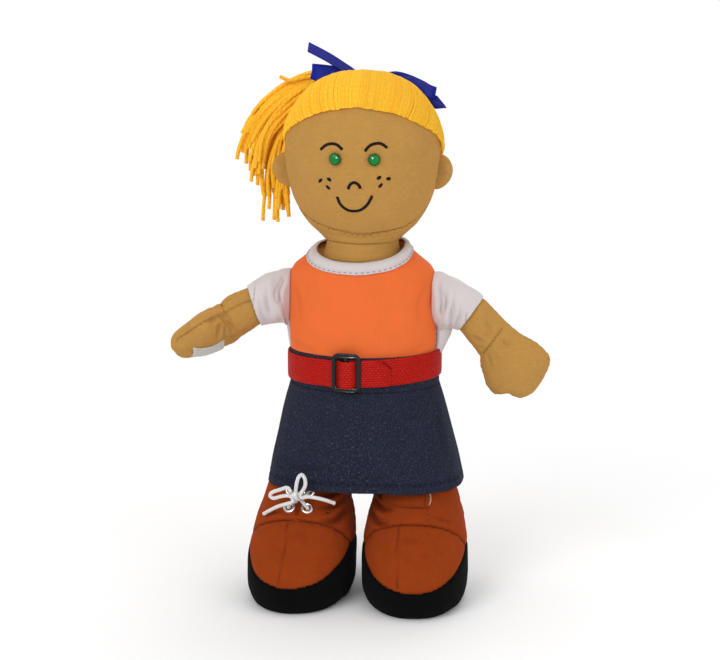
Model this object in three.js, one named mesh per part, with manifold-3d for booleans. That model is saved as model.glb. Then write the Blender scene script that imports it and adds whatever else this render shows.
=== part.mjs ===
// A cloth doll for practising fastenings: stuffed head, torso, arms and legs, a two-colour top,
// a denim skirt with a webbing belt, one lace-up boot and one boot with a hook-and-loop strap.
// Millimetres, +Z up. The doll stands on its soles and faces -Y, so its right side is at -X.
import * as THREE from 'three';
import { mergeVertices } from 'three/addons/utils/BufferGeometryUtils.js';
import Module from 'manifold-3d';

const wasm = await Module();
wasm.setup();

// Clearances and cloth thicknesses
const seamGap = 0.3; // between sewn pieces that touch
const wrapGap = 0.4; // between the stuffed body and a garment round it
const knitThickness = 1.2; // jersey of the top
const denimThickness = 1.4;
const webbingThickness = 1.5;

// Torso, measured up from the hip seam: height, half width, half depth
const hipZ = 140;
const hipGap = 0.4; // the sewn hinge between the torso and each leg
const torsoStations = [
  [0, 47, 0.2], [7, 49.2, 15], [15, 51.4, 31], [24, 52.4, 39], [44, 52.9, 40.6], [66, 53.9, 42],
  [84, 53.7, 41.5], [95, 53.2, 39], [103, 52.2, 36.5], [108, 49.5, 34.8], [113, 43.5, 33], [118, 37.5, 31.3],
  [124, 31.5, 29.3],
];
const torsoTop = torsoStations[torsoStations.length - 1][0];
const torsoSides = 26;

// Top, neck binding and skirt, heights above the hip seam
const topHemHeight = 17;
const necklineDrop = 7.5; // from the torso's top to the middle of the binding, at the body's axis
const necklineHeight = torsoTop - necklineDrop;
const necklineTilt = 9; // degrees, lower in front
const bindingWidth = 7.5;
const waistHeight = 20; // where the waistband starts
const waistbandWidth = 26;
const hemBelowBootTop = 8;
// Skirt below the waistband: share of the length, extra half width, extra half depth, squareness
const skirtStations = [
  [0, 0, 0, 2], [0.19, 4.6, 0.3, 2.1], [0.5, 10.4, 1, 2.4], [0.78, 15, 2.2, 2.8], [1, 17.4, 2.8, 3],
];
const skirtSides = 36;
const skirtFolds = { count: 7, depth: 0.7 };
const skirtEndReach = 0.5; // how far the hollow passes the wall at both ends

// Belt of 20 mm webbing through a three-bar slider
const beltWidth = 20;
const beltHeight = 23.5; // lower edge above the hip seam
const sliderAngle = -10; // degrees round the waist from the front, towards the doll's right
const slider = {
  width: 23.5, height: 31, thickness: 2, side: 4.4, rail: 4.6, bar: 3, corner: 2, turnShare: 0.7,
  clear: 1.1, levelAfter: 1.5, downAfter: 7,
};
const freeEndAngle = 25; // where the loose end of the webbing stops
const foldedCorner = { across: 9, down: 6.3, reach: 3, depth: 8 }; // the loose end's corner turned back
const beltStepDegrees = 6; // along the loose end
const beltRingCount = 44; // round the waist

// Neck and head. The head turns on a ball of the neck.
const neckRadius = 27;
const neckSunk = 13; // how far the neck's base is below the torso's top
const neckBaseHeight = torsoTop - neckSunk;
const neckLength = 11; // from its base to the centre of its ball
const neckBallHeight = neckBaseHeight + neckLength;
const neckSides = 24;
const socketLength = 40;
const turnGap = 0.6;
const headDepthShare = 0.86;
// Head, measured up from the centre of the neck's ball: height, half width
const headStations = [
  [4, 24], [6, 29], [10, 36], [18, 42.5], [28, 48], [38, 52], [48, 54.7], [58, 56.5], [71, 57.5], [83, 56],
  [93, 53], [103, 47.5], [113, 39.5], [120, 30], [125, 17], [126.5, 5],
];
const headSides = 28;
const ear = {
  height: 56, halfHeight: 14.5, reach: 11, halfThickness: 4.5, back: 2, outward: 1, sides: 12, levels: 8,
};
const eye = {
  height: 70.5, apart: 28, radius: 4.6, rim: 0.7, dome: 2.4, shankRadius: 2, shankLength: 9, sides: 14,
};
const eyeSeat = { depth: 0.4, length: 4 }; // the dimple that each eye presses into the face
const washer = { radius: 6, thickness: 1.4, depth: 5, sides: 12 };
const hair = { gap: 0.35, thickness: 3.2, levels: 10 };
// Hairline: degrees round the head from the middle of the forehead, height above the neck's ball
const hairline = [[0, 107], [30, 103], [60, 92], [90, 78], [115, 53], [140, 35], [180, 28]];

// Ponytail: a bunch of yarn tied behind the crown, brought to the doll's right. Points are
// x, y and height above the neck's ball, then the bunch's half width and half thickness there.
const ponytailStations = [
  [-3, 38, 116, 7, 6], [-14, 45, 122, 11, 8], [-34, 46, 124, 17, 12], [-56, 42, 114, 20, 14],
  [-71, 36, 93, 20.5, 14], [-76, 31, 66, 19, 12], [-71, 28, 36, 15, 9], [-67, 27, 22, 11, 6],
];
const ponytailSides = 16;
const ribbon = { width: 12, thickness: 0.9, knot: [2, 33, 120.5], knotSize: [11, 8, 9] };
const ribbonRingCount = 10;
const ribbonTies = [
  { across: [0.15, 0.15, 1], points: [
    [5, 33, 121], [22, 33, 122], [38, 29, 117], [46, 27, 113],
    [51, 29, 111], [46, 32, 112], [30, 34, 118], [6, 34, 122],
  ] },
  { across: [-0.4, -0.75, 0.5], points: [
    [0, 33, 119], [-20, 32, 121], [-36, 30, 122], [-43, 29, 127],
    [-36, 29, 133], [-20, 31, 129], [0, 32, 123],
  ] },
  { across: [0.36, 0.1, 0.93], points: [[5, 34, 121], [24, 34.5, 116], [42, 32, 108], [60, 29, 101]] },
  { across: [0.55, 0.15, 0.83], points: [[0, 34, 121], [-12, 35, 131], [-24, 33, 140], [-38, 31, 149]] },
];

// Arms. Each starts at the side seam of the shoulder and is sewn across at the elbow.
const shoulderX = 55.8;
const shoulderZ = 83; // above the hip seam
const upperArmLength = 52;
// Upper arm: distance from the shoulder seam, half width along the stitch line, half thickness
const leanDistance = 30; // over which the arm's sections turn from upright to square
const upperArmStations = [[0.3, 20, 0.8], [10, 19.5, 7.5], [20, 17.5, 13], [32, 14.5, 14.5], [42, 14, 15]];
const elbowHalfWidth = 13;
const elbowHalfThickness = 14.5;
const elbowOverrun = { arm: 3, mitten: 1 }; // how far each runs past the stitch line before it is cut
const elbowFaceAngle = 58; // degrees between the arm and each face of the sewn elbow
const elbowGap = 0.3;
const armSquareness = 2.2;
// Mitten: distance past the elbow, edge on the thumb's side, other edge, half thickness
const mittenStations = [
  [7, -17.6, 17.4, 14.9], [16, -21.6, 21.8, 15], [25, -25.4, 25, 14], [31, -25.6, 25.8, 12.6],
  [35, -22.4, 25.6, 11.6], [38, -16.8, 23.8, 10.8], [42, -14.6, 19.5, 9.4], [46, -11.8, 11.4, 6.8],
  [48.6, -7, 3, 3],
];
const armSides = 18;
const thumbBend = 14; // degrees that the forearm leans towards the thumb
const palmPatch = { from: 14, to: 37, halfWidth: 9, thickness: 1.2, reach: 30 };
const arms = {
  right: { side: -1, drop: 31, forward: 20, twist: 110, lift: 9 },
  left: { side: 1, drop: 36, forward: 0, twist: 0, lift: 0 },
};
// Sleeve: distance from the shoulder seam, half height, half depth
const sleeveStations = [
  [-10, 27, 21.5], [0.5, 26.5, 21.5], [9, 24, 21], [18, 20.5, 20], [25, 18, 18.5], [31, 16.6, 17],
];
const sleeveLeanRate = 1.4; // the sleeve turns to the arm's direction sooner than the arm's sections do

// Legs, feet and boots
const footX = 41.5;
const toesOut = 3; // degrees
const legRadius = 25;
const legHip = { x: 27, halfWidth: 19.5, halfDepth: 0.2 };
const legWedge = 35; // degrees between the leg and each face at the hip seam
const legFootZ = 46;
const legStraightZ = 96; // below this height the leg is a plain cylinder, in the boot
const legSpread = 3; // how much nearer the middle the leg is at the knee than at the foot
const legSides = 20;
// Boot: height, front, back, half width
const bootStations = [
  [0, -80, 28, 34], [3, -83.5, 30.5, 37], [12, -87, 33, 39.5], [22, -86.5, 33, 40], [30, -83.5, 33, 40],
  [40, -77, 33, 39.5], [50, -66, 32.5, 38], [58, -55, 32, 36.5], [66, -45, 31.5, 34], [73, -38.5, 31, 32],
  [80, -34, 30.5, 29.8], [92, -29.6, 29.6, 26.9],
];
const bootSides = 26;
const bootSquareness = 2.15;
const bootTop = bootStations[bootStations.length - 1][0];
const bootReach = 2 * Math.max(...bootStations.map(([, , , halfWidth]) => halfWidth)); // past the boot
const sole = { toeY: -82, toeZ: 22.5, sideY: -35, heelZ: 40 };
const toeCap = { topY: -50, topZ: 64, sideY: -18, sideZ: 24 };
const slit = { bottomZ: 65.5, topZ: bootTop, tipHalfWidth: 0.6, halfWidth: 5.5, recess: 1.8 };
const eyelet = {
  x: 6.9, lowZ: 69.5, highZ: 80.5, outer: 4.7, bore: 2.3, barrel: 2.9,
  flange: 0.8, edge: 0.5, depth: 3, sides: 12,
};
const strap = { z: 77.5, width: 10, thickness: 1.6, fromX: -24, toX: 11 };
const strapPatch = { fromX: -1, toX: 13.5, width: 9, thickness: 0.7 };

// Laces, in the boot's own frame
const laceRadius = 1.4;
const laceKnot = { at: [0, -50.5, 81.5], size: [4.2, 3.2, 3.6] };
const laceRoutes = {
  lace_loop_top: [
    [0.4, -51.5, 85.6], [1.6, -52.4, 92.5], [3.2, -52.6, 97], [5.4, -52.6, 98.8],
    [7.6, -52.4, 95.8], [7.8, -52, 90.4], [6, -51.8, 86.6], [4.6, -51.6, 84.6],
  ],
  lace_loop_side: [
    [-3.2, -51.6, 84.4], [-5.4, -51.4, 87.8], [-12, -50.4, 85.6], [-18.4, -48, 82.4],
    [-20, -47, 79.8], [-17.6, -47.6, 78], [-11.4, -49.4, 80.2], [-5.6, -51.2, 81.6],
  ],
  lace_tail_a: [[4.8, -51, 80.6], [10, -52.5, 82], [17, -53.2, 81.6], [23, -51.5, 79.8], [29, -47.5, 76.5]],
  lace_tail_b: [
    [-2, -52.2, 77.4], [-6, -52.4, 75.8], [-13.5, -49.6, 72.4], [-20, -45, 68], [-26.5, -39.5, 62.8],
  ],
};
const laceRingCount = 10;
const shortLaceRingCount = 6;
const laceInside = 2; // how far each short piece starts inside its eyelet
const laceLift = { low: 1.6, high: 1.8 }; // height of the first bend above the eyelet
const laceCross = {
  x: 4.4, dropY: 0.2, liftY: 2.8, riseZ: 4.6, sinkY: 0.8, apart: 0.25, clear: 0.9, spreadZ: 0.6,
};
const laceRise = { x: 5, backY: 8, dropZ: 2.4, endX: 2.6, endGap: 1, endDropZ: 0.6 };

const up = new THREE.Vector3(0, 0, 1);

// Geometry helpers

function degrees(value) {
  return THREE.MathUtils.degToRad(value);
}

function signedVolume(points, triangles) {
  let volume = 0;
  for (const [i, j, k] of triangles) {
    volume += points[i].dot(new THREE.Vector3().crossVectors(points[j], points[k])) / 6;
  }
  return volume;
}

// A closed solid through rings that have the same number of points
function loft(rings) {
  const count = rings[0].length;
  const points = rings.flat();
  const triangles = [];
  for (let r = 0; r + 1 < rings.length; r += 1) {
    for (let i = 0; i < count; i += 1) {
      const a = r * count + i;
      const b = r * count + ((i + 1) % count);
      triangles.push([a, b, b + count], [a, b + count, a + count]);
    }
  }
  const last = (rings.length - 1) * count;
  const capCentre = (ring) => ring.reduce((sum, p) => sum.add(p), new THREE.Vector3()).divideScalar(count);
  points.push(capCentre(rings[0]), capCentre(rings[rings.length - 1]));
  for (let i = 0; i < count; i += 1) {
    const next = (i + 1) % count;
    triangles.push([points.length - 2, next, i], [points.length - 1, last + i, last + next]);
  }
  if (signedVolume(points, triangles) < 0) {
    triangles.forEach((t) => t.reverse());
  }
  const vertProperties = new Float32Array(points.flatMap((p) => [p.x, p.y, p.z]));
  const triVerts = new Uint32Array(triangles.flat());
  return new wasm.Manifold(new wasm.Mesh({ numProp: 3, vertProperties, triVerts }));
}

function solidOf(geometry) {
  const bare = geometry.clone();
  bare.deleteAttribute('normal');
  bare.deleteAttribute('uv');
  const merged = mergeVertices(bare, 1e-4);
  return new wasm.Manifold(new wasm.Mesh({
    numProp: 3,
    vertProperties: new Float32Array(merged.attributes.position.array),
    triVerts: new Uint32Array(merged.index.array),
  }));
}

// The main body of a cut solid, without the crumbs that the cut leaves
function mainBody(solid) {
  const bodies = solid.decompose();
  return bodies.reduce((largest, body) => (body.volume() > largest.volume() ? body : largest));
}

function geometryOf(solid) {
  const { vertProperties, triVerts } = solid.getMesh();
  const geometry = new THREE.BufferGeometry();
  geometry.setAttribute('position', new THREE.BufferAttribute(new Float32Array(vertProperties), 3));
  geometry.setIndex(new THREE.BufferAttribute(new Uint32Array(triVerts), 1));
  geometry.computeVertexNormals();
  return geometry;
}

function placed(geometry, position, direction = up) {
  const turn = new THREE.Quaternion().setFromUnitVectors(up, direction.clone().normalize());
  return geometry.applyQuaternion(turn).translate(position.x, position.y, position.z);
}

function cylinder(radius, length, position, direction, sides = 24) {
  const geometry = new THREE.CylinderGeometry(radius, radius, length, sides).rotateX(Math.PI / 2);
  return solidOf(placed(geometry, position, direction));
}

// A revolve round the given direction; the profile holds radius and height pairs
function revolve(profile, position, direction, sides) {
  const outline = profile.map(([radius, height]) => new THREE.Vector2(radius, height));
  const geometry = new THREE.LatheGeometry(outline, sides).rotateX(Math.PI / 2);
  return solidOf(placed(geometry, position, direction));
}

// One value for the first row, one for the last and nothing for the rows between
function atEnds(index, count, first, last) {
  if (index === 0) {
    return first;
  }
  return index === count - 1 ? last : 0;
}

function box(size, centre) {
  return solidOf(new THREE.BoxGeometry(...size).translate(...centre));
}

// A superellipse in the plane of two unit vectors
function oval(centre, uAxis, vAxis, halfU, halfV, sides, squareness = 2) {
  const ring = [];
  for (let i = 0; i < sides; i += 1) {
    const angle = (2 * Math.PI * i) / sides;
    const c = Math.cos(angle);
    const s = Math.sin(angle);
    const u = Math.sign(c) * halfU * Math.abs(c) ** (2 / squareness);
    const v = Math.sign(s) * halfV * Math.abs(s) ** (2 / squareness);
    ring.push(centre.clone().addScaledVector(uAxis, u).addScaledVector(vAxis, v));
  }
  return ring;
}

function levelOval(z, halfWidth, halfDepth, sides, squareness = 2, x = 0, y = 0) {
  const centre = new THREE.Vector3(x, y, z);
  const xAxis = new THREE.Vector3(1, 0, 0);
  const yAxis = new THREE.Vector3(0, 1, 0);
  return oval(centre, xAxis, yAxis, halfWidth, halfDepth, sides, squareness);
}

// Rows of numbers read between two of the given stations
function stationAt(stations, key) {
  const above = stations.findIndex((s) => s[0] >= key);
  if (above <= 0) {
    return above === 0 ? stations[0] : stations[stations.length - 1];
  }
  const [low, high] = [stations[above - 1], stations[above]];
  const share = (key - low[0]) / (high[0] - low[0]);
  return low.map((value, i) => value + share * (high[i] - value));
}

// An outline in the Y-Z plane, extruded across the full width
function sideProfile(points, halfWidth) {
  const shape = new THREE.Shape(points.map(([y, z]) => new THREE.Vector2(y, z)));
  const geometry = new THREE.ExtrudeGeometry(shape, { depth: 2 * halfWidth, bevelEnabled: false });
  // Shape x to +Y, shape y to +Z, depth to +X
  geometry.applyMatrix4(new THREE.Matrix4().set(0, 0, 1, -halfWidth, 1, 0, 0, 0, 0, 1, 0, 0, 0, 0, 0, 1));
  return solidOf(geometry);
}

// An outline in the X-Z plane, extruded along Y between two places
function frontProfile(points, fromY, toY) {
  const shape = new THREE.Shape(points.map(([x, z]) => new THREE.Vector2(x, z)));
  const geometry = new THREE.ExtrudeGeometry(shape, { depth: toY - fromY, bevelEnabled: false });
  geometry.applyMatrix4(new THREE.Matrix4().set(1, 0, 0, 0, 0, 0, -1, toY, 0, 1, 0, 0, 0, 0, 0, 1));
  return solidOf(geometry);
}

function tube(points, radius, ringCount) {
  const path = new THREE.CatmullRomCurve3(points.map((p) => new THREE.Vector3(...p)), false, 'centripetal');
  const section = new THREE.Shape();
  section.absarc(0, 0, radius, 0, 2 * Math.PI);
  const options = { steps: ringCount, extrudePath: path, bevelEnabled: false, curveSegments: 4 };
  return solidOf(new THREE.ExtrudeGeometry(section, options));
}

// Materials

function cloth(colour, roughness = 0.9) {
  return new THREE.MeshStandardMaterial({ color: colour, roughness, metalness: 0 });
}

const skinCloth = cloth('#BD9156');
const orangeJersey = cloth('#EC7238');
const whiteJersey = cloth('#DDD6D8');
const denim = cloth('#272A3C');
const redWebbing = cloth('#BF281E', 0.75);
const yellowYarn = cloth('#FDB92B');
const blueSatin = cloth('#23229C', 0.4);
const rustSuede = cloth('#A8481B');
const blackFelt = cloth('#141316');
const whiteLace = cloth('#EDEBEA', 0.8);
const whiteLoopTape = cloth('#D9D6CC');
const blackPlastic = cloth('#121214', 0.35);
const greenPlastic = cloth('#1E9A45', 0.2);
const clearPlastic = cloth('#E8E8E4', 0.3);
const steel = new THREE.MeshStandardMaterial({ color: '#C9C9C6', roughness: 0.25, metalness: 1 });

const doll = new THREE.Group();

function add(name, solid, material, parent = doll) {
  const mesh = new THREE.Mesh(geometryOf(solid), material);
  mesh.name = name;
  parent.add(mesh);
  return mesh;
}

// Torso and the layers of cloth round it

function torsoShape(offset, fromHeight, toHeight) {
  const inner = torsoStations.filter(([h]) => h > fromHeight && h < toHeight);
  const rows = [stationAt(torsoStations, fromHeight), ...inner, stationAt(torsoStations, toHeight)];
  const heights = [fromHeight, ...inner.map(([h]) => h), toHeight];
  return loft(rows.map(([, a, b], i) => levelOval(hipZ + heights[i], a + offset, b + offset, torsoSides)));
}

const shirtOutside = wrapGap + knitThickness;
const bindingOutside = shirtOutside + seamGap + knitThickness;
const bandOutside = shirtOutside + wrapGap + denimThickness;
const [, waistWidth, waistDepth] = stationAt(torsoStations, waistHeight + waistbandWidth);

function makeNeck() {
  const ballZ = hipZ + neckBallHeight;
  const arc = [];
  const arcSteps = 6;
  for (let i = 0; i <= arcSteps; i += 1) {
    const angle = (i / arcSteps) * (Math.PI / 2);
    arc.push([neckRadius * Math.cos(angle), neckBallHeight - neckBaseHeight + neckRadius * Math.sin(angle)]);
  }
  arc[arcSteps][0] = 0;
  const base = new THREE.Vector3(0, 0, hipZ + neckBaseHeight);
  add('neck', revolve([[0, 0], [neckRadius, 0], ...arc], base, up, neckSides), skinCloth);
  return ballZ;
}

function makeTorso() {
  const body = torsoShape(0, 0, torsoTop);
  const socketCentre = new THREE.Vector3(0, 0, hipZ + neckBaseHeight - seamGap + socketLength / 2);
  const socket = cylinder(neckRadius + turnGap, socketLength, socketCentre, up, neckSides);
  add('torso_body', body.subtract(socket).subtract(aboveNeckline(bindingWidth / 2 + seamGap)), skinCloth);
}

// Everything above the tilted plane of the neckline, raised along the body by some distance
function aboveNeckline(rise) {
  const size = 200;
  const slab = new THREE.BoxGeometry(size, size, size).translate(0, 0, size / 2);
  slab.rotateX(degrees(necklineTilt)).translate(0, 0, hipZ + necklineHeight + rise);
  return solidOf(slab);
}

function makeTop() {
  const outer = torsoShape(shirtOutside, topHemHeight, torsoTop);
  const inner = torsoShape(wrapGap, topHemHeight - 1, torsoTop + 1);
  add('shirt_body', outer.subtract(inner).subtract(aboveNeckline(0)), orangeJersey);
  const bandLow = torsoStations[6][0];
  const bandOuter = torsoShape(bindingOutside, bandLow, torsoTop);
  const bandInner = torsoShape(shirtOutside + seamGap, bandLow - 1, torsoTop + 1);
  const band = bandOuter.subtract(bandInner).subtract(aboveNeckline(bindingWidth / 2));
  add('neck_binding', band.intersect(aboveNeckline(-bindingWidth / 2)), whiteJersey);
}

function makeSkirt() {
  const bandTop = waistHeight + waistbandWidth;
  const bandInside = shirtOutside + wrapGap;
  const bandRing = (offset, height) => {
    return levelOval(hipZ + height, waistWidth + offset, waistDepth + offset, torsoSides);
  };
  const waistband = loft([bandRing(bandOutside, waistHeight), bandRing(bandOutside, bandTop)]);
  const bandHollow = loft([bandRing(bandInside, waistHeight - 1), bandRing(bandInside, bandTop + 1)]);
  add('skirt_waistband', waistband.subtract(bandHollow), denim);

  const topZ = hipZ + waistHeight - seamGap;
  const skirtLength = topZ - (bootTop - hemBelowBootTop);
  const skirtRing = (share, wide, deep, squareness, inset, z) => {
    const halfWidth = waistWidth + bandOutside + wide - inset;
    const halfDepth = waistDepth + bandOutside + deep - inset;
    return levelOval(z, halfWidth, halfDepth, skirtSides, squareness).map((point) => {
      const fold = skirtFolds.depth * share * Math.cos(skirtFolds.count * Math.atan2(point.y, point.x));
      const outward = new THREE.Vector3(point.x, point.y, 0).normalize();
      return point.addScaledVector(outward, fold);
    });
  };
  const wall = (inset, reach) => skirtStations.map(([share, wide, deep, squareness], i) => {
    const ends = atEnds(i, skirtStations.length, reach, -reach);
    return skirtRing(share, wide, deep, squareness, inset, topZ - share * skirtLength + ends);
  });
  add('skirt', loft(wall(0, 0)).subtract(loft(wall(denimThickness, skirtEndReach))), denim);
}

// The webbing's middle line round the waist, from its loose end through the slider and back to the bar
function beltLine() {
  const under = wrapGap + webbingThickness / 2;
  const over = under + webbingThickness + seamGap;
  const a = waistWidth + bandOutside;
  const b = waistDepth + bandOutside;
  const at = (angle, rise) => {
    const t = degrees(angle);
    return new THREE.Vector2((a + rise) * Math.sin(t), -(b + rise) * Math.cos(t));
  };
  const perDegree = degrees(1) * a;
  const sliderSteps = (mm) => sliderAngle + mm / perDegree;
  const onBar = over + webbingThickness / 2 + seamGap + slider.thickness + seamGap + webbingThickness / 2;
  const insideWindow = slider.width / 2 - slider.side - slider.clear;
  const besideBar = slider.bar / 2 + 1;
  const line = [];
  for (let angle = freeEndAngle; angle > sliderSteps(insideWindow + 2); angle -= beltStepDegrees) {
    line.push(at(angle, over));
  }
  line.push(at(sliderSteps(insideWindow), over), at(sliderSteps(besideBar), onBar));
  line.push(at(sliderSteps(-besideBar), onBar), at(sliderSteps(-insideWindow), over));
  line.push(at(sliderSteps(-slider.width / 2 - slider.levelAfter), over));
  const turnEnd = sliderAngle - 360;
  const start = sliderSteps(-slider.width / 2 - slider.downAfter);
  for (let i = 0; i <= beltRingCount; i += 1) {
    line.push(at(start + ((turnEnd - start) * i) / beltRingCount, under));
  }
  const centre = at(sliderAngle, over + webbingThickness / 2 + seamGap + slider.thickness / 2);
  return { line, centre, over, at };
}

function thickened(line, thickness) {
  const left = [];
  const right = [];
  line.forEach((point, i) => {
    const before = line[Math.max(i - 1, 0)];
    const after = line[Math.min(i + 1, line.length - 1)];
    const along = after.clone().sub(before).normalize();
    const across = new THREE.Vector2(-along.y, along.x).multiplyScalar(thickness / 2);
    left.push(point.clone().add(across));
    right.push(point.clone().sub(across));
  });
  return [...left, ...right.reverse()];
}

function roundedRectangle(width, height, corner) {
  const points = [];
  const steps = 3;
  for (let quarter = 0; quarter < 4; quarter += 1) {
    const signX = quarter === 0 || quarter === 3 ? 1 : -1;
    const signY = quarter < 2 ? 1 : -1;
    for (let i = 0; i <= steps; i += 1) {
      const angle = ((quarter + i / steps) * Math.PI) / 2;
      const x = signX * (width / 2 - corner) + corner * Math.cos(angle);
      const y = signY * (height / 2 - corner) + corner * Math.sin(angle);
      points.push(new THREE.Vector2(x, y));
    }
  }
  return points;
}

function makeBelt() {
  const { line, centre, over, at } = beltLine();
  const shape = new THREE.Shape(thickened(line, webbingThickness));
  const strip = new THREE.ExtrudeGeometry(shape, { depth: beltWidth, bevelEnabled: false });
  strip.translate(0, 0, hipZ + beltHeight);
  const tip = at(freeEndAngle, over);
  const topZ = hipZ + beltHeight + beltWidth;
  const { across, down, reach, depth } = foldedCorner;
  const cornerOut = [
    [tip.x - across, topZ + 1], [tip.x + reach, topZ + 1], [tip.x + reach, topZ - down],
  ];
  const turnedBack = frontProfile(cornerOut, tip.y - depth, tip.y + (webbingThickness + seamGap) / 2);
  const underneath = bandOutside + over - (webbingThickness + seamGap) / 2;
  const laidOverSides = 72;
  const laidOver = loft([-reach, beltWidth + reach].map((rise) => {
    const z = hipZ + beltHeight + rise;
    return levelOval(z, waistWidth + underneath, waistDepth + underneath, laidOverSides);
  }));
  add('belt_webbing', solidOf(strip).subtract(turnedBack.subtract(laidOver)), redWebbing);

  const { width, height, thickness, side, rail, bar, corner } = slider;
  const outline = new THREE.Shape(roundedRectangle(width, height, corner));
  const plate = new THREE.ExtrudeGeometry(outline, { depth: thickness, bevelEnabled: false });
  let frame = solidOf(plate.translate(0, 0, -thickness / 2));
  for (const sign of [-1, 1]) {
    const far = width / 2 - side;
    const windowSize = [far - bar / 2, height - 2 * rail, 2 * thickness];
    frame = frame.subtract(box(windowSize, [(sign * (far + bar / 2)) / 2, 0, 0]));
  }
  const placedFrame = geometryOf(frame).rotateX(Math.PI / 2).rotateZ(degrees(sliderAngle) * slider.turnShare);
  placedFrame.translate(centre.x, centre.y, hipZ + beltHeight + beltWidth / 2);
  add('belt_slider', solidOf(placedFrame), blackPlastic);
}

// Head

function headShape(offset, ballZ) {
  return loft(headStations.map(([h, a]) => {
    const b = a * headDepthShare;
    return levelOval(ballZ + h, a + offset, b + offset, headSides);
  }));
}

// The head grown outwards, crown included
function grownHead(offset, ballZ) {
  const rings = headStations.map(([h, a]) => {
    return levelOval(ballZ + h, a + offset, a * headDepthShare + offset, headSides);
  });
  const [topHeight, topWidth] = headStations[headStations.length - 1];
  rings.push(levelOval(ballZ + topHeight + offset, topWidth, topWidth * headDepthShare, headSides));
  return loft(rings);
}

// Everything above the hairline, out to the yarn's outside
function hairShape(offset, ballZ) {
  const [topHeight, topWidth] = headStations[headStations.length - 1];
  const rings = [];
  for (let level = 0; level <= hair.levels; level += 1) {
    const share = Math.sin(((level / hair.levels) * Math.PI) / 2);
    const ring = [];
    for (let i = 0; i < headSides; i += 1) {
      const angle = (360 * i) / headSides;
      const low = stationAt(hairline, angle <= 180 ? angle : 360 - angle)[1];
      const height = low + (topHeight - low) * share;
      const [, a] = stationAt(headStations, height);
      const x = (a + offset) * Math.sin(degrees(angle));
      const y = -(a * headDepthShare + offset) * Math.cos(degrees(angle));
      ring.push(new THREE.Vector3(x, y, ballZ + height));
    }
    rings.push(ring);
  }
  rings.push(levelOval(ballZ + topHeight + offset, topWidth, topWidth * headDepthShare, headSides));
  return loft(rings);
}

function makeEye(name, surface, outward) {
  const from = (distance) => surface.clone().addScaledVector(outward, distance);
  const shankEnd = eyeSeat.depth - eye.shankLength;
  const dome = [[0, shankEnd], [eye.shankRadius, shankEnd], [eye.shankRadius, 0], [eye.radius, 0]];
  dome.push([eye.radius, eye.rim]);
  const domeSteps = 3;
  for (let i = 1; i < domeSteps; i += 1) {
    const t = (i / domeSteps) * (Math.PI / 2);
    dome.push([eye.radius * Math.cos(t), eye.rim + (eye.dome - eye.rim) * Math.sin(t)]);
  }
  dome.push([0, eye.dome]);
  add(`${name}_eye`, revolve(dome, from(-seamGap / 2), outward, eye.sides), greenPlastic);

  const half = washer.thickness / 2;
  const bore = eye.shankRadius + seamGap;
  const ring = [[bore, -half], [washer.radius, -half], [washer.radius, half], [bore, half], [bore, -half]];
  add(`${name}_eye_washer`, revolve(ring, from(-washer.depth), outward, washer.sides), clearPlastic);

  const shankHole = cylinder(bore, eye.shankLength + 2, from(-eye.shankLength / 2), outward, eye.sides);
  const seatMiddle = from(eyeSeat.length / 2 - eyeSeat.depth);
  const seat = cylinder(eye.radius + seamGap, eyeSeat.length, seatMiddle, outward, eye.sides);
  const roomLength = washer.thickness + 2 * seamGap;
  const room = cylinder(washer.radius + seamGap, roomLength, from(-washer.depth), outward, washer.sides);
  return shankHole.add(seat).add(room);
}

function makeEar(name, side, ballZ) {
  const [, sideWidth] = stationAt(headStations, ear.height);
  const lobe = new THREE.SphereGeometry(1, ear.sides, ear.levels);
  lobe.scale(ear.reach, ear.halfThickness, ear.halfHeight);
  lobe.translate(side * (sideWidth + ear.outward), ear.back, ballZ + ear.height);
  add(`${name}_ear`, solidOf(lobe).subtract(headShape(seamGap, ballZ)), skinCloth);
}

function makeHead(ballZ) {
  const ballSides = 20;
  const socket = new THREE.SphereGeometry(neckRadius + turnGap, ballSides, 12).rotateX(Math.PI / 2);
  let head = headShape(0, ballZ).subtract(solidOf(socket.translate(0, 0, ballZ)));
  const [, faceWidth] = stationAt(headStations, eye.height);
  const faceDepth = faceWidth * headDepthShare;
  for (const [name, side] of [['right', -1], ['left', 1]]) {
    const x = (side * eye.apart) / 2;
    const y = -faceDepth * Math.sqrt(1 - (x / faceWidth) ** 2);
    const surface = new THREE.Vector3(x, y, ballZ + eye.height);
    const outward = new THREE.Vector3(x / faceWidth ** 2, y / faceDepth ** 2, 0).normalize();
    head = head.subtract(makeEye(name, surface, outward));
    makeEar(name, side, ballZ);
  }
  add('head', head, skinCloth);
  const yarn = hairShape(hair.gap + hair.thickness, ballZ).subtract(grownHead(hair.gap, ballZ));
  add('hair_cap', yarn, yellowYarn);
}

function ribbonStrip({ across, points }, ballZ) {
  const route = points.map(([x, y, h]) => new THREE.Vector3(x, y, ballZ + h));
  const path = new THREE.CatmullRomCurve3(route, false, 'centripetal');
  const crosswise = new THREE.Vector3(...across).normalize();
  const rings = [];
  for (let i = 0; i <= ribbonRingCount; i += 1) {
    const centre = path.getPointAt(i / ribbonRingCount);
    const along = path.getTangentAt(i / ribbonRingCount);
    const face = new THREE.Vector3().crossVectors(along, crosswise).normalize();
    const width = new THREE.Vector3().crossVectors(face, along).normalize();
    const w = ribbon.width / 2;
    const t = ribbon.thickness / 2;
    rings.push([[w, t], [-w, t], [-w, -t], [w, -t]].map(([p, q]) => centre.clone()
      .addScaledVector(width, p).addScaledVector(face, q)));
  }
  return loft(rings);
}

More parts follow.
